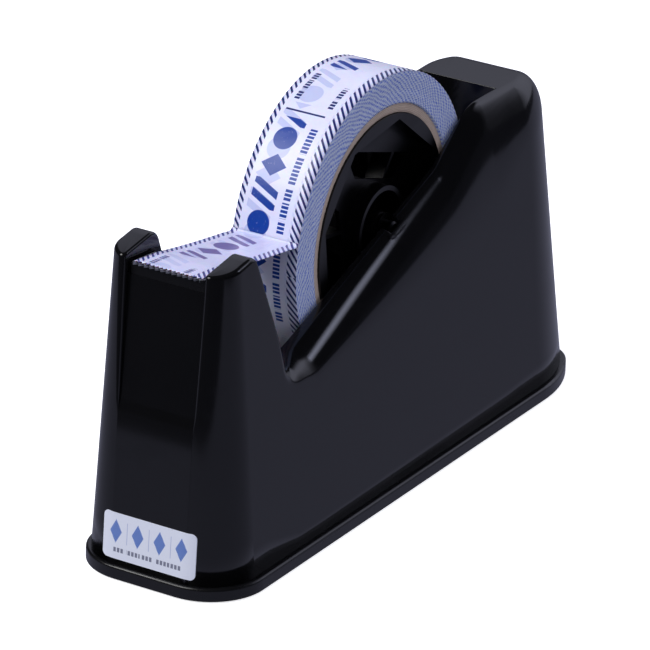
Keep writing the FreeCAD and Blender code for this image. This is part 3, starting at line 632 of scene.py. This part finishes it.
HORN_END = root(lambda y: PANEL_TOP - crest_at(y)[0], -84.0, -70.0)
WELL_START = root(lambda y: crest_at(y)[0] - well_floor(y), -60.0, -50.0)
SPINE_START = on_outline(1.0, PANEL_TOP).y + 0.5


def rim_point(place):
    """Where the wall at this place meets the crest line."""
    z = DECK
    for _ in range(60):
        z = (z + crest_at(on_outline(place, z).y)[0]) / 2
    return on_outline(place, z)


def inward(place, z):
    """Level direction from the wall into the shell."""
    along = on_outline(place + 0.001, z) - on_outline(place - 0.001, z)
    return Vector((-along.y, along.x, 0.0)).normalized()


def grid_column(wall, rim, high, inner, split=SHOULDER_SPLIT):
    """Points of one grid line: up the wall, over the shoulder to high, and in to the inner edge."""
    points = list(wall)
    for step in range(1, SHOULDER_STEPS + 1):
        if step <= SADDLE_STEPS:
            share = split * step / SADDLE_STEPS
        else:
            share = blend(split, 1.0, (step - SADDLE_STEPS) / (SHOULDER_STEPS - SADDLE_STEPS))
        points.append(conic(wall[-1], rim, high, share))
    return points + [inner]


def side_column(y, fillet):
    """Grid line on the inner side of a horn, from the platform up and over to the spine."""
    rim = on_crest(horn_side(crest_at(y)[0]), y)
    size = min(fillet, 0.6 * (rim.z - PANEL_TOP))
    wall = [Vector((horn_side(PANEL_TOP), y, PANEL_TOP))] * LOW_ROW
    wall.append(Vector((horn_side(rim.z - size), y, rim.z - size)))
    high = rim + Vector((size, 0.0, 0.0))
    return grid_column(wall, rim, high, on_crest(SPINE_X, max(y, SPINE_START)))


def front_column(place, fillet):
    """Grid line on the horn's corner or the nose, from the foot to the start of the spine."""
    rim = rim_point(place)
    wall = [on_outline(place, level) for level in PANEL_LEVELS] + [on_outline(place, rim.z - fillet)]
    high = rim + inward(place, rim.z) * fillet
    return grid_column(wall, rim, on_crest(high.x, high.y), on_crest(SPINE_X, SPINE_START))


def rear_column(place, drop, reach, inner):
    """Grid line on the curved rear part of the wall."""
    rim = rim_point(place)
    wall = [on_outline(place, blend(SHELL_FOOT, rim.z - drop, row / LOW_ROW))
            for row in range(LOW_ROW + 1)]
    return grid_column(wall, rim, rim + inward(place, rim.z) * reach, inner)


def flank_column(y, foot_y):
    """Grid line on the flat flank: a slim fillet on the horn, a deep soft shoulder on the rail."""
    z, slope = crest_at(y)
    rim_z = blend(z, soft_crest(y), ease(y, *RIM_SOFTENS))
    rim = Vector((tapered(SHELL_HALF, rim_z), y, rim_z))
    slim = blend(HORN_FILLET, SLIM_FILLET, ease(y, *PEAK_SLIMS))
    slim = blend(slim, NOTCH_FILLET, ease(y, *NOTCH_WIDENS))
    growth = ease(y, *SHOULDER_STARTS)
    rail_y = y + RAIL_LEAN * (1 - ease(y, *LEAN_ENDS))
    low_y = blend(y + slim * math.sin(slope), rail_y, growth)
    low_z = blend(z - slim * math.cos(slope), shoulder_foot(rail_y), growth)
    low = Vector((tapered(SHELL_HALF, low_z), low_y, low_z))
    foot = Vector((tapered(SHELL_HALF, SHELL_FOOT), foot_y, SHELL_FOOT))
    wall = [foot.lerp(low, row / LOW_ROW) for row in range(LOW_ROW + 1)]
    high = Vector((blend(rim.x - slim, SHOULDER_EDGE, growth), y, z))
    inner_x = SPINE_X if y < HORN_END + 1e-6 else WELL_HALF
    split = SHOULDER_SPLIT
    if y > SADDLE_NEARS[0]:
        at_saddle = root(lambda share: conic(low, rim, high, share).x - SADDLE_DEPTH, 0.0, 1.0)
        split = blend(split, at_saddle, ease(y, *SADDLE_NEARS))
    return grid_column(wall, rim, high, Vector((inner_x, y, z)), split)


def flank_places():
    """Distances along the flank that need a grid line, in order."""
    saddle = [WELL_Y - SADDLE_HALF * math.cos(math.pi * step / 6) for step in range(7)]
    fixed = [SPINE_START, HORN_END, WELL_START, WELL_END] + saddle
    last = on_outline(2.0, DECK).y - 0.8
    loose = [point.x for point in CREST if SPINE_START < point.x < last] + [last]
    clear = [y for y in loose if all(abs(y - other) > 0.35 for other in fixed)]
    return sorted([y for y in clear if not saddle[0] < y < saddle[-1]] + fixed)


def horn_columns(horn_ys):
    """Grid lines up the horn's inner side from the rear, then round its corner and the nose."""
    corner_y = rim_point(-1.0).y
    panel_y = tapered(SHELL_FRONT, PANEL_TOP) + PANEL_DEEP
    side_ys = horn_ys[::-1] + [blend(SPINE_START, panel_y, step / 4) for step in range(1, 5)]
    columns = [side_column(y, blend(INNER_FILLET, FRONT_FILLET, ease(-y, -SPINE_START, -corner_y)))
               for y in side_ys]
    places = [step / 6 - 1.0 for step in range(6)] + [step / 16 for step in range(17)]
    for place in places:
        fillet = blend(FRONT_FILLET, HORN_FILLET, max(0.0, place))
        columns.append(front_column(min(place, 0.9999), fillet))
    return columns, len(side_ys)


def flank_columns(places):
    """Grid lines on the flank, with their feet spread over its whole length."""
    start, end = SPINE_START + 0.4, on_outline(2.0, SHELL_FOOT).y - 0.8
    first, last = places[0], places[-1]
    return [flank_column(y, blend(start, end, (y - first) / (last - first))) for y in places]


def rear_columns(count):
    columns = []
    for step in range(count + 1):
        place = 2.0 + 3.0 * step / count
        share = ease(place, 2.0, 4.0)
        drop = blend(DECK - shoulder_foot(on_outline(2.0, DECK).y), REAR_ROUND, share)
        reach = blend(on_outline(2.0, DECK).x - SHOULDER_EDGE, REAR_ROUND, share)
        columns.append(rear_column(min(place, 4.9999), drop, reach, Vector((0.0, WELL_END, DECK))))
    return columns


class ShellGrid:
    """Right half of the shell, built as a grid of points in millimetres."""

    def __init__(self):
        self.mesh = bmesh.new()
        places = flank_places()
        self.horn, self.sides = horn_columns([y for y in places if y <= HORN_END])
        flank = flank_columns(places)
        self.columns = self.horn + flank + rear_columns(30)
        self.ys = [None] * len(self.horn) + places
        self.horn_end, self.well_start, self.well_end = (
            self.ys.index(y) for y in (HORN_END, WELL_START, WELL_END))
        self.saddle = [number for number, y in enumerate(self.ys)
                       if y is not None and abs(y - WELL_Y) < SADDLE_HALF + 1e-6]
        self.columns[-1] = [across(point) for point in self.columns[-1]]
        rear = self.columns[self.well_end:]
        for step, column in enumerate(rear):
            column[-1] = Vector((WELL_HALF * (1 - step / (len(rear) - 1)), WELL_END, DECK))

    def face(self, *corners):
        self.mesh.faces.new([self.mesh.verts.new(corner * MM) for corner in corners])

    def add_outside(self):
        for number, (here, after) in enumerate(zip(self.columns, self.columns[1:])):
            first = TOP_LEVEL if number < self.sides else 0
            inside = number in self.saddle and number + 1 in self.saddle
            for row in range(first, SADDLE_ROW if inside else len(here) - 1):
                self.face(here[row], after[row], after[row + 1], here[row + 1])

    def add_front(self):
        """Recessed panel with its side wall, and the platform behind it."""
        shares = (0.0, 0.4, 0.75, 1.0)
        for level, above in zip(PANEL_LEVELS, PANEL_LEVELS[1:]):
            for left, right in zip(shares, shares[1:]):
                self.face(on_panel(left, level), on_panel(right, level),
                          on_panel(right, above), on_panel(left, above))
            self.face(on_panel(1.0, level), on_outline(-1.0, level),
                      on_outline(-1.0, above), on_panel(1.0, above))
        feet = [column[0] for column in self.columns[:self.sides]]
        self.face(*[on_panel(share, PANEL_TOP) for share in shares[:-1]], *feet[::-1],
                  Vector((0.0, HORN_END, PANEL_TOP)))
        inner = [column[-1] for column in self.columns[self.horn_end:self.well_start + 1]]
        self.face(inner[0], inner[1], across(inner[1]), across(inner[0]), feet[0])
        for here, after in zip(inner[1:], inner[2:]):
            self.face(here, after, across(after), across(here))

    def add_well(self):
        for number in range(self.well_start, self.well_end):
            pair = (number, number + 1)
            inside = number in self.saddle and number + 1 in self.saddle
            lines = []
            for column in pair:
                y = self.ys[column]
                line = [on_well(y, well_floor(y))]
                if column in self.saddle:
                    line.append(on_well(y, saddle_floor(y)))
                if not inside:
                    line.append(self.columns[column][-1])
                lines.append(line)
            self.face(*lines[0], *lines[1][::-1])
            low, high = lines[0][0], lines[1][0]
            self.face(low, high, across(high), across(low))
        rim = [column[-1] for column in self.columns[self.well_end:]]
        self.face(on_well(WELL_END, WELL_Z), *rim, Vector((0.0, WELL_END, WELL_Z)))

    def add_saddle(self):
        """Open slot for the axle, cut from the well into the rail's shoulder."""
        back = [Vector((SADDLE_DEPTH, self.ys[number], saddle_floor(self.ys[number])))
                for number in self.saddle]
        for number, floor in ((self.saddle[0], back[0]), (self.saddle[-1], back[-1])):
            self.face(*self.columns[number][SADDLE_ROW:], on_well(floor.y, floor.z), floor)
        self.face(*[self.columns[number][SADDLE_ROW] for number in self.saddle], *back[::-1])
        for here, after in zip(back, back[1:]):
            self.face(here, after, on_well(after.y, after.z), on_well(here.y, here.z))

    def finished(self, name):
        """Both halves as one mesh, with the sharp convex edges of the well marked for a bevel."""
        grid = self.mesh
        bmesh.ops.remove_doubles(grid, verts=grid.verts, dist=MERGE_DISTANCE)
        copied = bmesh.ops.duplicate(grid, geom=grid.verts[:] + grid.edges[:] + grid.faces[:])
        for item in copied["geom"]:
            if isinstance(item, bmesh.types.BMVert):
                item.co.x = -item.co.x
        bmesh.ops.remove_doubles(grid, verts=grid.verts, dist=MERGE_DISTANCE)
        bmesh.ops.dissolve_degenerate(grid, edges=grid.edges, dist=MERGE_DISTANCE / 2)
        bmesh.ops.recalc_face_normals(grid, faces=grid.faces)
        weight = grid.edges.layers.float.new("bevel_weight_edge")
        for edge in grid.edges:
            y = (edge.verts[0].co.y + edge.verts[1].co.y) / (2 * MM)
            if edge.is_convex and edge.calc_face_angle(0.0) > SHARP_TURN and y > WELL_START:
                edge[weight] = 0.3 if y > WELL_END - 1.0 else min(1.0, (y - WELL_START) / 6.0)
        mesh = bpy.data.meshes.new(name)
        grid.to_mesh(mesh)
        grid.free()
        return mesh


def on_panel(share, z):
    return Vector((horn_side(z) * share, tapered(SHELL_FRONT, z) + panel_depth(z), z))


def on_well(y, z):
    return Vector((WELL_HALF, y, z))


def across(point):
    """The point's neighbour on the middle plane."""
    return Vector((0.0, point.y, point.z))


def make_shell(material):
    """The grid as a thin wall with softened edges."""
    grid = ShellGrid()
    grid.add_outside()
    grid.add_front()
    grid.add_well()
    grid.add_saddle()
    mesh = grid.finished("moulded_shell")
    mesh.materials.append(material)
    mesh.shade_smooth()
    mesh.set_sharp_from_angle(angle=math.radians(38))
    piece = bpy.data.objects.new("moulded_shell", mesh)
    bpy.context.scene.collection.objects.link(piece)
    bevel = piece.modifiers.new("soft_edges", "BEVEL")
    bevel.limit_method = "WEIGHT"
    bevel.width = EDGE_BEVEL * MM
    bevel.segments = 3
    bevel.use_clamp_overlap = False
    thickness = piece.modifiers.new("wall", "SOLIDIFY")
    thickness.thickness = SHELL_WALL * MM
    thickness.offset = -1.0
    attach(piece, "stand")
    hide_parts("shell")


# ---------- roll, core and tail ----------

ROLL_SIDES = 288
PEEL_ANGLE = math.atan2(tail_low.z - AXIS_Z, AXIS_Y - tail_high.y)
ROLL_CORNER_WIDTH, ROLL_CORNER_HEIGHT = 0.12 * MM, 0.15 * MM
SIDE_RINGS, FACE_STEPS = 16, 10
SIDE_UNEVEN, CORE_FUR = 0.16, 0.08
CORE_RECESS = 0.9 * MM
CORE_ROUND = 0.35 * MM

# The print jumps at the line where the tail peels off, and again at this share of the turn.
PRINT_JUMP = 31.0
JUMP_SHARE = 0.6


def mirrored(side, face=()):
    """Closed section of a ring: its right side from the inside outwards, its face, and its left."""
    return side + list(face) + [(-x, radius) for x, radius in reversed(side)]


def revolved(name, sections, material):
    """Ring about the axle with one closed section of (x, radius) pairs for each of its turns."""
    count = len(sections[0])
    points = []
    for turn, section in enumerate(sections):
        angle = 2 * math.pi * turn / ROLL_SIDES
        points += [(x, *about_axle(radius, angle)) for x, radius in section]
    faces = []
    for turn in range(ROLL_SIDES):
        here = turn * count
        there = (turn + 1) % ROLL_SIDES * count
        for step in range(count):
            onward = (step + 1) % count
            faces.append((here + step, there + step, there + onward, here + onward))
    return new_mesh(name, points, faces, material)


def roll_side():
    """Right side of the roll's section: uneven turns from the core out to the face."""
    random.seed(4)
    side = []
    for ring in range(SIDE_RINGS + 1):
        radius = CORE_OUTER + (ROLL_RADIUS - ROLL_CORNER_HEIGHT - CORE_OUTER) * ring / SIDE_RINGS
        side.append((TAPE_HALF - random.uniform(0.0, SIDE_UNEVEN) * MM, radius))
    return side


def make_roll(face_film, side_film):
    """Wound tape with print on its face and inked edges on its sides."""
    side = roll_side()
    edge = TAPE_HALF - ROLL_CORNER_WIDTH
    face = [(edge * (1 - 2 * step / FACE_STEPS), ROLL_RADIUS) for step in range(FACE_STEPS + 1)]
    ring = mirrored(side, face)
    count = len(ring)
    piece = revolved("printed_roll", [ring] * ROLL_SIDES, face_film)
    piece.data.materials.append(side_film)
    layout = piece.data.uv_layers.new(name="print")
    first_face = len(side) - 1
    last_face = len(side) + len(face) - 1
    for polygon in piece.data.polygons:
        turn, step = divmod(polygon.index, count)
        on_face = first_face <= step <= last_face
        under = 2 * math.pi * turn / ROLL_SIDES < PEEL_ANGLE or turn > ROLL_SIDES * JUMP_SHARE
        polygon.material_index = 0 if on_face else 1
        for loop in polygon.loop_indices:
            vertex = piece.data.loops[loop].vertex_index
            own_turn = vertex // count
            if turn == ROLL_SIDES - 1 and own_turn == 0:
                own_turn = ROLL_SIDES
            angle = 2 * math.pi * own_turn / ROLL_SIDES
            point = piece.data.vertices[vertex].co
            if on_face:
                along = (angle - PEEL_ANGLE) * ROLL_RADIUS / MM
                layout.data[loop].uv = (along + (PRINT_JUMP if under else 0.0), point.x / MM)
            else:
                radius = math.hypot(point.y - AXIS_Y, point.z - AXIS_Z)
                layout.data[loop].uv = (angle, radius / MM)
    piece.data.update()
    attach(piece, "roll")
    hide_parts("tape_roll")


def core_section(fur):
    """Closed section of the board ring, whose rounded ends stand out by fur."""
    flat = core_high.x - CORE_RECESS - CORE_ROUND
    end = core_high.x - CORE_RECESS + fur
    near = CORE_ROUND * 0.3
    return mirrored([
        (flat, CORE_INNER),
        (end - near, CORE_INNER + near),
        (end, CORE_INNER + CORE_ROUND),
        (end, CORE_OUTER - CORE_ROUND),
        (end - near, CORE_OUTER - near),
        (flat, CORE_OUTER),
    ])


def make_core(board):
    """Board ring with rounded, slightly furred ends."""
    random.seed(7)
    sections = [core_section(random.uniform(CORE_FUR, 0.0) * MM) for _ in range(ROLL_SIDES)]
    piece = revolved("board_core", sections, board)
    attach(piece, "roll")
    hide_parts("tape_core")


TAIL_THICKNESS = 0.16 * MM
PEEL_STEPS, TAIL_STEPS, BLADE_STEPS = 6, 40, 8
TAIL_TEETH = 16
TOOTH_DEPTH = 0.9 * MM
PEEL_BEND = 1.8 * MM
TAIL_SAG = 0.5 * MM
TAIL_CURL = 0.25 * MM
CURL_ROWS = 45


def tail_path():
    """Side view of the free end: peeled off the roll, pulled down to the blade."""
    start = Vector((0.0, *about_axle(ROLL_RADIUS + 0.1 * MM, PEEL_ANGLE)))
    above = start + Vector((0.0, 0.0, PEEL_BEND * 0.9))
    turning = start + Vector((0.0, -0.2 * MM, 0.0))
    out = start + Vector((0.0, -2.6 * PEEL_BEND, 0.65 * PEEL_BEND))
    rest = Vector((0.0, blade_high.y - 0.6 * MM, tail_high.z - 1.35 * MM))
    blade = Vector((0.0, blade_low.y + 0.9 * MM, tail_high.z - 0.05 * MM))
    points = []
    for step in range(PEEL_STEPS + 1):
        share = step / PEEL_STEPS
        points.append(above.lerp(turning, share).lerp(turning.lerp(out, share), share))
    for step in range(1, TAIL_STEPS + 1):
        share = step / TAIL_STEPS
        points.append(out.lerp(rest, share) - Vector((0.0, 0.0, math.sin(math.pi * share) * TAIL_SAG)))
    for step in range(1, BLADE_STEPS + 1):
        points.append(rest.lerp(blade, step / BLADE_STEPS))
    return points


def make_tail(film):
    """Thin strip along the tail's path, with curled edges and an end cut by the teeth."""
    path = tail_path()
    columns = TAIL_TEETH * 2
    lengths = [0.0]
    for before, after in zip(path, path[1:]):
        lengths.append(lengths[-1] + (after - before).length)
    points = []
    marks = []
    for level in (0.0, -TAIL_THICKNESS):
        for row, spot in enumerate(path):
            for column in range(columns + 1):
                x = TAPE_HALF * (2 * column / columns - 1)
                tooth = TOOTH_DEPTH if row == len(path) - 1 and column % 2 else 0.0
                lift = math.sin(math.pi * min(1.0, row / CURL_ROWS))
                curl = TAIL_CURL * (abs(x) / TAPE_HALF) ** 4 * lift
                points.append((x, spot.y + tooth, spot.z + level + curl))
                marks.append((-lengths[row] / MM, x / MM))
    width = columns + 1
    sheet = len(path) * width
    faces = []
    for row in range(len(path) - 1):
        for column in range(columns):
            here = row * width + column
            faces.append((here, here + width, here + width + 1, here + 1))
            below = here + sheet
            faces.append((below, below + 1, below + width + 1, below + width))
        for column in (0, columns):
            here = row * width + column
            edge = (here, here + sheet, here + sheet + width, here + width)
            faces.append(edge if column == 0 else tuple(reversed(edge)))
    for row in (0, len(path) - 1):
        for column in range(columns):
            here = row * width + column
            edge = (here, here + 1, here + 1 + sheet, here + sheet)
            faces.append(edge if row == 0 else tuple(reversed(edge)))
    piece = new_mesh("free_end", points, faces, film)
    layout = piece.data.uv_layers.new(name="print")
    for loop in piece.data.loops:
        layout.data[loop.index].uv = marks[loop.vertex_index]
    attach(piece, "axle_unit")
    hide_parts("tape_tail")


# ---------- CAD nodes that keep their shape ----------

def finish_nodes():
    """Give each CAD node that stays its material."""
    steel = bare_metal("zinc_screw_steel", srgb(178, 178, 172), 0.34, (1.0, 1.0, 6.0))
    turned = bare_metal("blackened_axle_steel", srgb(44, 44, 46), 0.34, (8.0, 1.0, 1.0))
    strip = bare_metal("bright_blade_strip", srgb(200, 202, 205), 0.26, (0.2, 3.0, 3.0))
    rivet = bare_metal("rivet_aluminium", srgb(205, 205, 205), 0.34, (1.0, 1.0, 1.0))
    finishes = {
        "base_plate": base_plastic(),
        "foam_pad": foam(),
        "ballast_front": cast_iron(),
        "base_screws": steel,
        "ballast_screws": steel,
        "blade_holder": holder_plastic(),
        "holder_screws": steel,
        "cutter_blade": strip,
        "blade_rivets": rivet,
        "axle": turned,
        "axle_clips": turned,
        "hub_right": hub_plastic(),
    }
    finishes["ballast_rear"] = finishes["ballast_front"]
    finishes["hub_left"] = finishes["hub_right"]
    finishes["axle_washers"] = finishes["hub_right"]
    for node, material in finishes.items():
        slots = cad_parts[node].data.materials
        slots.clear()
        slots.append(material)


def finish_label():
    """The label keeps its CAD shape and takes its print from where each point is."""
    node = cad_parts["label"]
    node.data.materials.clear()
    node.data.materials.append(label_film())
    layout = node.data.uv_layers.new(name="print")
    for loop in node.data.loops:
        point = node.data.vertices[loop.vertex_index].co
        layout.data[loop.index].uv = (point.x / MM, (point.z - label_low.z) / MM)


# ---------- stage: floor, lights and camera ----------

FLOOR_HALF = 30.0
TABLE_FRONT, TABLE_RIGHT = -0.27, 0.42

# Ends of the bright backdrop that only glossy surfaces see, as parts of a unit direction.
BACKDROP_X, BACKDROP_Y, BACKDROP_Z = 0.55, 0.57, 0.68

KEY_SIZE, KEY_POWER, KEY_PLACE, KEY_AIM = (0.9, 0.9), 16.0, (-0.7, -0.9, 1.3), (0.0, 0.0, 0.07)
STRIP_SIZE, STRIP_POWER, STRIP_SPREAD = (0.06, 0.2), 0.0022, math.radians(22.0)
STRIP_PLACE, STRIP_AIM = (0.2735, 0.16, 0.292), (0.0225, -0.057, 0.062)

# Direction of the view in radians, then the camera's place in metres and its lens in millimetres.
VIEW_TURN, VIEW_TILT, VIEW_ROLL = 0.547, 0.409, 0.027
CAMERA_PLACE = Vector((0.852087, -1.405044, 0.763506))
CAMERA_LENS, CAMERA_SENSOR = 303.6, 36.0


def make_floor():
    corners = [(FLOOR_HALF * x, FLOOR_HALF * y, 0.0) for x, y in ((-1, -1), (1, -1), (1, 1), (-1, 1))]
    new_mesh("floor", corners, [(0, 1, 2, 3)], floor_paint())


def floor_paint():
    """Pale floor for the camera. Gloss sees a bluish table that ends to the front and the right."""
    paint = Paint("pale_floor")
    tree = paint.tree
    path = paint.node("LightPath").node
    to_camera = Field(tree, path.outputs["Is Camera Ray"])
    in_gloss = Field(tree, path.outputs["Is Glossy Ray"])
    spot = paint.node("SeparateXYZ", Vector=paint.coordinates.outputs["Object"]).node
    table = ((Field(tree, spot.outputs["Y"]) - TABLE_FRONT) / 0.015).clamp() * (
        Field(tree, spot.outputs["X"]).within(-9.0, TABLE_RIGHT, 0.05))
    tint = paint.blend(to_camera, (0.16, 0.165, 0.18), (0.86, 0.86, 0.86))
    tint = paint.blend(in_gloss, tint, (0.0, 0.0, 0.0))
    shine = in_gloss * ((table * 0.21) + 0.04)
    glow = paint.blend(in_gloss, (1.0, 1.0, 1.0), (0.92, 0.94, 1.3))
    paint.set(Base_Color=tint, Roughness=0.9, Specular_IOR_Level=0.0,
              Emission_Color=glow, Emission_Strength=(to_camera * 0.75) + shine)
    return paint.material


def make_light(name, size, power, place, aim, tint):
    data = bpy.data.lights.new(name, "AREA")
    data.shape = "RECTANGLE"
    data.size, data.size_y = size
    data.energy = power
    data.color = tint
    light = bpy.data.objects.new(name, data)
    light.location = place
    light.rotation_euler = (Vector(aim) - Vector(place)).to_track_quat("-Z", "Y").to_euler()
    bpy.context.scene.collection.objects.link(light)
    return light


def make_world():
    """White to the camera, soft fill for matt surfaces, and a bright backdrop behind for the gloss."""
    world = bpy.data.worlds.new("studio")
    bpy.context.scene.world = world
    world.use_nodes = True
    tree = world.node_tree
    background = tree.nodes["Background"]
    path = tree.nodes.new("ShaderNodeLightPath")
    spot = tree.nodes.new("ShaderNodeSeparateXYZ")
    tree.links.new(tree.nodes.new("ShaderNodeTexCoord").outputs["Generated"], spot.inputs[0])
    aside = Field(tree, spot.outputs["X"])
    behind = Field(tree, spot.outputs["Y"]).within(BACKDROP_Y, 2.0, 0.16)
    rise = Field(tree, spot.outputs["Z"])
    backdrop = behind * aside.within(-2.0, BACKDROP_X, 0.3) * rise.within(-2.0, BACKDROP_Z, 0.12)
    shine = (backdrop * (((aside + 0.35).clamp() * 0.8) + (rise * 0.95) + 0.02)) + 0.014
    fill = Field(tree, path.outputs["Is Diffuse Ray"]) * 0.58
    strength = Field(tree, path.outputs["Is Glossy Ray"]) * shine
    strength = strength + fill + Field(tree, path.outputs["Is Camera Ray"])
    tint = tree.nodes.new("ShaderNodeMix")
    tint.data_type = "RGBA"
    tint.inputs[6].default_value = (0.94, 0.96, 1.2, 1.0)
    tint.inputs[7].default_value = (1.0, 1.0, 1.0, 1.0)
    tree.links.new(path.outputs["Is Camera Ray"], tint.inputs["Factor"])
    tree.links.new(tint.outputs[2], background.inputs["Color"])
    plug(tree, background.inputs["Strength"], strength)


def make_lights():
    """Soft key from the front left, and a faint narrow strip for the highlight low on the rail."""
    make_light("key", KEY_SIZE, KEY_POWER, KEY_PLACE, KEY_AIM, (1.0, 1.0, 1.0))
    strip = make_light("rail_strip", STRIP_SIZE, STRIP_POWER, STRIP_PLACE, STRIP_AIM, (0.8, 0.84, 1.1))
    strip.data.spread = STRIP_SPREAD
    strip.visible_camera = False


def make_camera():
    """Camera over the front right corner, at the angle and distance of the studio view."""
    turn, tilt = VIEW_TURN, VIEW_TILT
    right = Vector((math.cos(turn), math.sin(turn), 0.0))
    up = Vector((-math.sin(turn) * math.sin(tilt), math.cos(turn) * math.sin(tilt), math.cos(tilt)))
    back = Vector((math.sin(turn) * math.cos(tilt), -math.cos(turn) * math.cos(tilt), math.sin(tilt)))
    level_right = math.cos(VIEW_ROLL) * right + math.sin(VIEW_ROLL) * up
    level_up = math.cos(VIEW_ROLL) * up - math.sin(VIEW_ROLL) * right
    data = bpy.data.cameras.new("studio_camera")
    data.sensor_width = CAMERA_SENSOR
    data.lens = CAMERA_LENS
    data.clip_end = 100.0
    camera = bpy.data.objects.new("studio_camera", data)
    turned = Matrix((level_right, level_up, back)).transposed().to_4x4()
    camera.matrix_world = Matrix.Translation(CAMERA_PLACE) @ turned
    bpy.context.scene.collection.objects.link(camera)
    bpy.context.scene.camera = camera


finish_nodes()
finish_label()
make_shell(shell_plastic())
make_roll(
    tape_film("printed_film", srgb(238, 239, 253), srgb(20, 36, 104), srgb(8, 62, 156), 0.45),
    wound_edges(),
)
make_core(cardboard())
make_tail(
    tape_film("printed_film_tail", srgb(230, 229, 250), srgb(66, 66, 136), srgb(120, 108, 166), 0.3)
)
make_floor()
make_world()
make_lights()
make_camera()
bpy.context.scene.view_settings.view_transform = "Standard"
